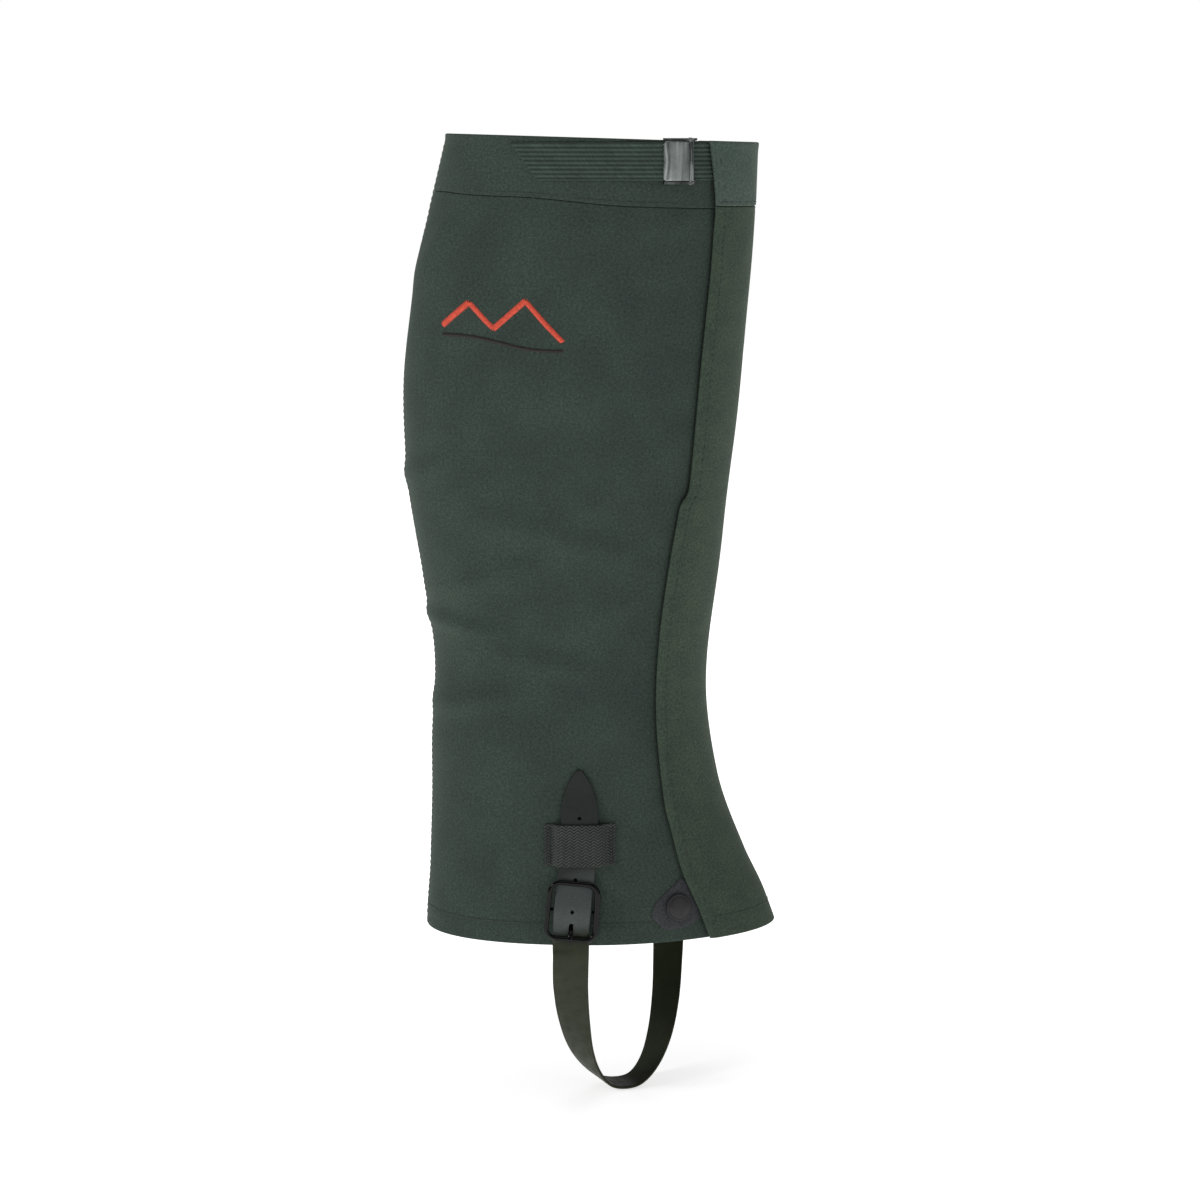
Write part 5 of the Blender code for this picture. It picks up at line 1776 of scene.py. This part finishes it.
    def build_tab(self) -> None:
        """Make the webbing tab round the centre bar, slit for the prong."""
        seat = self.seat()
        wrap = self.centre_bar[0] + 0.7
        turn = np.linspace(0, math.pi, 7)
        loops = np.stack([-wrap * np.sin(turn), self.centre_bar[1] - wrap * np.cos(turn)], axis=1)
        loops = np.vstack([loops, [(3.5, 3.3), (6.5, 2.1)]])
        climb = self.buckle_z + np.array([42.0, 34, 26, 19, 12, 7, 3])
        for label, low, high in (("back", -8.6, -2.2), ("front", 2.2, 10.6)):
            lines = []
            for x in np.linspace(low, high, 5):
                line = [LEG.skin(z, LEG.turn_at(z, self.middle_x(z) + x), 0.8) for z in climb]
                line += [seat.place(x, h, z) for z, h in loops]
                lines.append(line)
            lines = through(np.array(lines), edge_shares(14, high - low, 0.3))
            grid = through(lines.transpose(1, 0, 2), edge_shares(120, 56, 0.3)).transpose(1, 0, 2)
            piece = make_sheet(f"buckle_tab_{label}", grid, 0.6, BLACK_WEBBING, lambda s: weave(s, 1.5, 0.08))
            ride(piece, Body.SHELL, "black_webbing", "buckle_tab")

    def build_keeper(self) -> None:
        """Make the keeper and sew down its ends."""
        left, right, low, high = self.keeper
        middle = float(self.middle_x((low + high) / 2))
        reach = self.width / 2
        xs = [left, left + 4, middle - reach - 3.6, middle - reach - 1.2, middle - 5, middle + 5]
        xs += [middle + reach + 1.2, middle + reach + 3.6, right - 4, right]
        heights = np.array([1.0, 1.0, 1.9, 4.1, 4.2, 4.2, 4.1, 1.9, 1.0, 1.0])
        rows = [LEG.skin(z, LEG.turn_at(z, np.array(xs)), heights) for z in np.linspace(low, high, 5)]
        lines = through(np.array(rows), edge_shares(110, high - low, 0.5))
        grid = through(lines.transpose(1, 0, 2), edge_shares(180, right - left, 0.5)).transpose(1, 0, 2)
        piece = make_sheet(
            "keeper_webbing", grid, 1.0, KEEPER_WEBBING, lambda s: weave(s, TWILL_COLUMN, 0.22)
        )
        ride(piece, Body.SHELL, "black_webbing", "keeper")
        declare_sheet(grid)
        rows_of = Needlework(stitch=2.3, gap=0.35, thread=0.5)
        for x in (left + 1.3, left + 2.7, right - 2.7, right - 1.3):
            z = np.linspace(low + 0.6, high - 0.6, 40)
            turn = LEG.turn_at(z, x + 0.35 * np.sin(z * 2.4))
            rows_of.sew(LEG.skin(z, turn, 1.62), LEG.outward(z, turn))
        piece = rows_of.finish_as("keeper_stitching", 0.36, BLACK_THREAD)
        ride(piece, Body.SHELL, "black_webbing")

    def build(self) -> None:
        """Make strap, buckle, tab and keeper."""
        self.build_strap()
        self.build_buckle()
        self.build_tab()
        self.build_keeper()


@dataclass
class PressStud:
    """The press stud's cap and patch outside, and the socket, stud and tab inside.

    Attributes:
        x: Where it is along the foot, in millimetres.
        z: Its height up the leg.
        cap: Radius of the cap.
        tab_depth: How far inside the shell the tab's middle is.
    """

    x: float = 43.0
    z: float = 19.0
    cap: float = 7.5
    tab_depth: float = 5.7

    def build_cap(self) -> None:
        """Turn the domed cap with its rolled rim."""
        seat = LEG.seat(self.x, self.z)
        dome = np.linspace(0, 1, 22)
        radius = np.concatenate(
            [
                [0.0, 1.5, 1.5, 6.4],
                self.cap - 0.9 + 0.9 * np.sin(np.linspace(0, math.pi, 13)),
                6.3 * np.cos(dome * math.pi / 2),
            ]
        )
        height = np.concatenate(
            [
                [-2.9, -2.9, 1.6, 1.6],
                2.35 - 0.75 * np.cos(np.linspace(0, math.pi, 13)),
                3.0 + 1.25 * np.sin(dome * math.pi / 2),
            ]
        )
        turn = np.linspace(0, 2 * math.pi, 72, endpoint=False)
        radius = np.maximum(radius, 0.01)
        rings = seat.place(
            radius[:, None] * np.cos(turn), height[:, None] + 0 * turn, radius[:, None] * np.sin(turn)
        )
        numbers = np.arange(rings.size // 3).reshape(rings.shape[:2])
        nearby = np.roll(numbers, -1, axis=1)
        quads = np.stack(
            [numbers[:-1], nearby[:-1], nearby[1:], numbers[1:]], axis=-1
        ).reshape(-1, 4).tolist()
        faces = quads + [numbers[0, ::-1].tolist(), numbers[-1].tolist()]
        piece = place_mesh("press_stud_cap", rings.reshape(-1, 3), faces, None, CAP_ENAMEL)
        ride(piece, Body.SHELL, "snap_enamel", "snap_cap")

    def build_patch(self) -> None:
        """Make the pressed-on patch, a kite with soft corners."""
        corners = np.array(
            [(-14.5, -4.5), (-12.5, 2.5), (-2.5, 11.8), (2.5, 15.5), (9.2, 5.0), (12.6, -7.0), (-5, -12.2)]
        )
        ring = np.vstack([corners, corners[:1]])
        outline = through(np.column_stack([ring, np.zeros(len(ring))]), np.linspace(0, 1, 97)[:-1])[:, :2]
        middle = outline.mean(axis=0)
        shares = np.array([0.02, 0.2, 0.4, 0.6, 0.8, 0.94, 1.0, 1.0])
        heights = np.array([0.95, 0.95, 0.95, 0.95, 0.95, 0.9, 0.6, 0.1])
        spots = middle + (outline - middle)[None] * shares[:, None, None]
        z, x = self.z + spots[..., 1], self.x + spots[..., 0]
        points = LEG.skin(z, LEG.turn_at(z, x), heights[:, None])
        numbers = np.arange(points.size // 3).reshape(points.shape[:2])
        nearby = np.roll(numbers, -1, axis=1)
        quads = np.stack(
            [numbers[:-1], nearby[:-1], nearby[1:], numbers[1:]], axis=-1
        ).reshape(-1, 4).tolist()
        faces = quads + [numbers[0, ::-1].tolist(), numbers[-1].tolist()]
        piece = place_mesh(
            "press_stud_patch", points.reshape(-1, 3), faces, spots.reshape(-1, 2) * MM, PATCH_CLOTH
        )
        ride(piece, Body.SHELL, "patch_fabric", "snap_patch")

    def build_tab(self) -> None:
        """Make the inner tab that carries the stud, hinged on the underlap."""
        first = float(LEG.turn_at(self.z, self.x - 9))

        def off(z: Array, turn: Array) -> Array:
            """The tab's middle surface, lifting towards its sewn end."""
            return -self.tab_depth + 0.7 * ease((turn - 147) / 8)

        grid = LEG.layer(
            lambda z: (first, 156.0),
            lambda t: (self.z - 10 + 0 * t, self.z + 10 + 0 * t),
            off,
            (48, 20),
            0.5,
        )
        piece = make_sheet("press_stud_tab", grid, 1.1, BLACK_WEBBING, lambda s: weave(s, 1.6, 0.1))
        start, end = (tuple(LEG.skin(self.z, turn, -self.tab_depth)) for turn in (147.0, 138.0))
        bridge(piece, (Body.SHELL, Body.SNAP_TAB), start, end, "black_webbing", "snap_tab")

    def build(self) -> None:
        """Make the whole press stud."""
        self.build_cap()
        self.build_patch()
        self.build_tab()
        dress_node("snap_socket", STEEL, 0.25)
        dress_node("snap_stud", STEEL, 0.2)


@dataclass
class LaceHook:
    """The lace hook inside the front of the hem, on its webbing tab.

    Attributes:
        x: Where its pivot is along the foot, in millimetres.
        z: Height of its pivot.
        inset: How far inside the front line the tab is sewn.
    """

    x: float = 74.0
    z: float = 21.0
    inset: float = 6.8

    def build(self) -> None:
        """Make the tab and dress the hook."""
        middle, half = LEG.section(np.array(self.z + 10))
        sewn = float(middle + half) - self.inset - self.x
        wrap = 1.85
        path = [
            (sewn - 2.4, 15),
            (sewn - 0.6, 9),
            (4.2, 4.2),
            (wrap, 0.6),
            (wrap * 0.7, -wrap * 0.7),
            (0, -wrap),
        ]
        path += [
            (-wrap * 0.7, -wrap * 0.7),
            (-wrap, 0),
            (-wrap * 0.6, 2.2),
            (0.4, 5.2),
            (sewn - 3.4, 9),
            (sewn - 4.6, 13),
        ]
        spots = np.linspace(-3.5, 3.5, 5)
        rows = [[((self.x + x) * MM, y * MM, (self.z + z) * MM) for y in spots] for x, z in path]
        lines = through(np.array(rows), edge_shares(70, 44, 0.4))
        grid = through(lines.transpose(1, 0, 2), edge_shares(14, 7, 0.4)).transpose(1, 0, 2)
        piece = make_sheet("lace_hook_webbing", grid, 0.85, BLACK_WEBBING, lambda s: weave(s, 1.4, 0.07))
        ride(piece, Body.SHELL, "black_webbing", "lace_hook_tab")
        dress_node("lace_hook", STEEL, 0.25)


@dataclass
class Badge:
    """A generic embroidered badge: two peaks in satin stitch, and a line under them.

    Attributes:
        height: Height of its left end up the leg, in millimetres.
        left: Where its left end is along the foot.
        fall: How much it falls for each millimetre to the front.
        half: Half the width of the peaks' satin band.
    """

    height: float = 345.0
    left: float = -85.0
    fall: float = 0.13
    half: float = 1.5

    def on_cloth(self, x: Array, rise: Array, lift: float) -> tuple[Array, Array]:
        """Points on the panel, with the way out of it, from places on the badge."""
        z = self.height - self.fall * (x - self.left) + rise
        turn = LEG.turn_at(z, x)
        return LEG.skin(z, turn, LEG.drape(z, turn) + lift), LEG.outward(z, turn)

    def satin(
        self, name: str, node: str, points: Array, half: float, pitch: float, finish: Finish, slot: str
    ) -> None:
        """Cover a line with satin stitch.

        Args:
            name: The piece's name.
            node: The node it stands for.
            points: The line on the badge, in millimetres.
            half: Half the band's width.
            pitch: Distance between two strands.
            finish: The thread's finish.
            slot: Its material slot.
        """
        run = np.concatenate([[0.0], np.cumsum(np.linalg.norm(np.diff(points, axis=0), axis=1))])
        at = np.arange(0, run[-1], pitch)
        x, rise = (np.interp(at, run, points[:, k]) for k in range(2))
        ahead = np.stack([np.gradient(x), np.gradient(rise)], axis=1)
        ahead /= np.linalg.norm(ahead, axis=1, keepdims=True)
        slant = 0.35
        reach = half * (1 + 0.06 * np.sin(np.arange(len(at)) * 2.1))
        across = np.stack(
            [-ahead[:, 1] + slant * ahead[:, 0], ahead[:, 0] + slant * ahead[:, 1]], axis=1
        ) * reach[:, None]
        start, _ = self.on_cloth(x - across[:, 0], rise - across[:, 1], 0.05)
        end, out = self.on_cloth(x + across[:, 0], rise + across[:, 1], 0.05)
        threads = Needlework(thread=0.5)
        threads.lay(start, end, out)
        piece = threads.finish_as(name, 0.75, finish)
        ride(piece, Body.SHELL, slot, node)

    def build(self) -> None:
        """Embroider the peaks and the line."""
        peaks = [
            (-84, -3), (-78, 3), (-70, 11), (-62, 3), (-57, -1), (-51, 5), (-40, 16), (-29, 5), (-20, -3)
        ]
        self.satin(
            "badge_peaks",
            "motif_peaks",
            np.array(peaks, float),
            self.half,
            0.42,
            ORANGE_THREAD,
            "orange_thread",
        )
        x = np.linspace(-84, -20, 60)
        line = np.stack([x, -8.2 + 1.2 * np.sin((x + 84) / 10)], axis=1)
        self.satin("badge_line", "motif_line", line, 1.0, 0.5, BROWN_THREAD, "brown_thread")


@dataclass
class Studio:
    """A pale floor, soft light and the camera.

    Attributes:
        camera: Where the camera is, in metres.
        pitch: How far it looks down, in degrees.
        lens: Its focal length, in millimetres.
    """

    camera: tuple[float, float, float] = (0.0, -1.5735, 0.43935)
    pitch: float = 9.2
    lens: float = 85.0

    def build_camera(self) -> None:
        """Set up the camera."""
        data = bpy.data.cameras.new("camera")
        data.lens = self.lens
        data.sensor_width = 36.0
        camera = bpy.data.objects.new("camera", data)
        camera.location = self.camera
        camera.rotation_euler = (math.radians(90 - self.pitch), 0, 0)
        bpy.context.scene.collection.objects.link(camera)
        bpy.context.scene.camera = camera

    def build_floor(self) -> None:
        """Lay a large pale floor just under the lowest point."""
        low = CAD_BOX[0].z - 0.0015
        size = 6.0
        points = np.array([(x * size, y * size, low) for x, y in ((-1, -1), (1, -1), (1, 1), (-1, 1))])
        floor = place_mesh(
            "floor", points, [(0, 1, 2, 3)], None, Floor("paper sweep, matt", "#ffffff", "#fbfbfb", 0.9)
        )

    def build_light(self) -> None:
        """Hang soft boxes and set the white surround."""
        world = bpy.data.worlds.new("surround")
        world.use_nodes = True
        tree = world.node_tree
        tree.nodes["Background"].inputs["Strength"].default_value = 0.18
        tree.nodes["Background"].inputs["Color"].default_value = (1, 1, 1, 1)
        seen = add_node(tree, "ShaderNodeBackground", {"Color": (1, 1, 1, 1), "Strength": 1.0})
        path = add_node(tree, "ShaderNodeLightPath", {})
        links = {0: path.outputs["Is Camera Ray"], 1: tree.nodes["Background"].outputs[0], 2: seen.outputs[0]}
        mixed = add_node(tree, "ShaderNodeMixShader", {}, links)
        tree.links.new(mixed.outputs[0], tree.nodes["World Output"].inputs["Surface"])
        bpy.context.scene.world = world
        for name, place, power, size in (
            ("key", (-1.7, -1.0, 1.2), 12.5, 0.45),
            ("fill", (1.4, -1.6, 0.6), 3.0, 1.2),
            ("top", (0.2, -0.2, 2.0), 4.5, 1.2),
            ("back", (0.4, 1.8, 1.0), 4.5, 1.2),
        ):
            data = bpy.data.lights.new(name, "AREA")
            data.energy = power
            data.size = size
            lamp = bpy.data.objects.new(name, data)
            lamp.location = place
            aim = np.array([0.0, 0.0, 0.18]) - np.array(place)
            lamp.rotation_euler = (
                math.atan2(math.hypot(aim[0], aim[1]), -aim[2]), 0, math.atan2(-aim[0], aim[1])
            )
            bpy.context.scene.collection.objects.link(lamp)
        bpy.context.scene.view_settings.view_transform = "Standard"

    def build(self) -> None:
        """Make the whole studio."""
        self.build_camera()
        self.build_floor()
        self.build_light()


def main() -> None:
    """Build the gaiter's looks, sub-assembly by sub-assembly."""
    logging.basicConfig(level=logging.INFO, format="%(message)s")
    Studio().build()
    for assembly in (
        ShellFabric(), FrontClosure(), TopStrap(), InstepStrap(), PressStud(), LaceHook(), Badge()
    ):
        assembly.build()
        log.info("%s done", type(assembly).__name__)


if __name__ == "__main__":
    main()
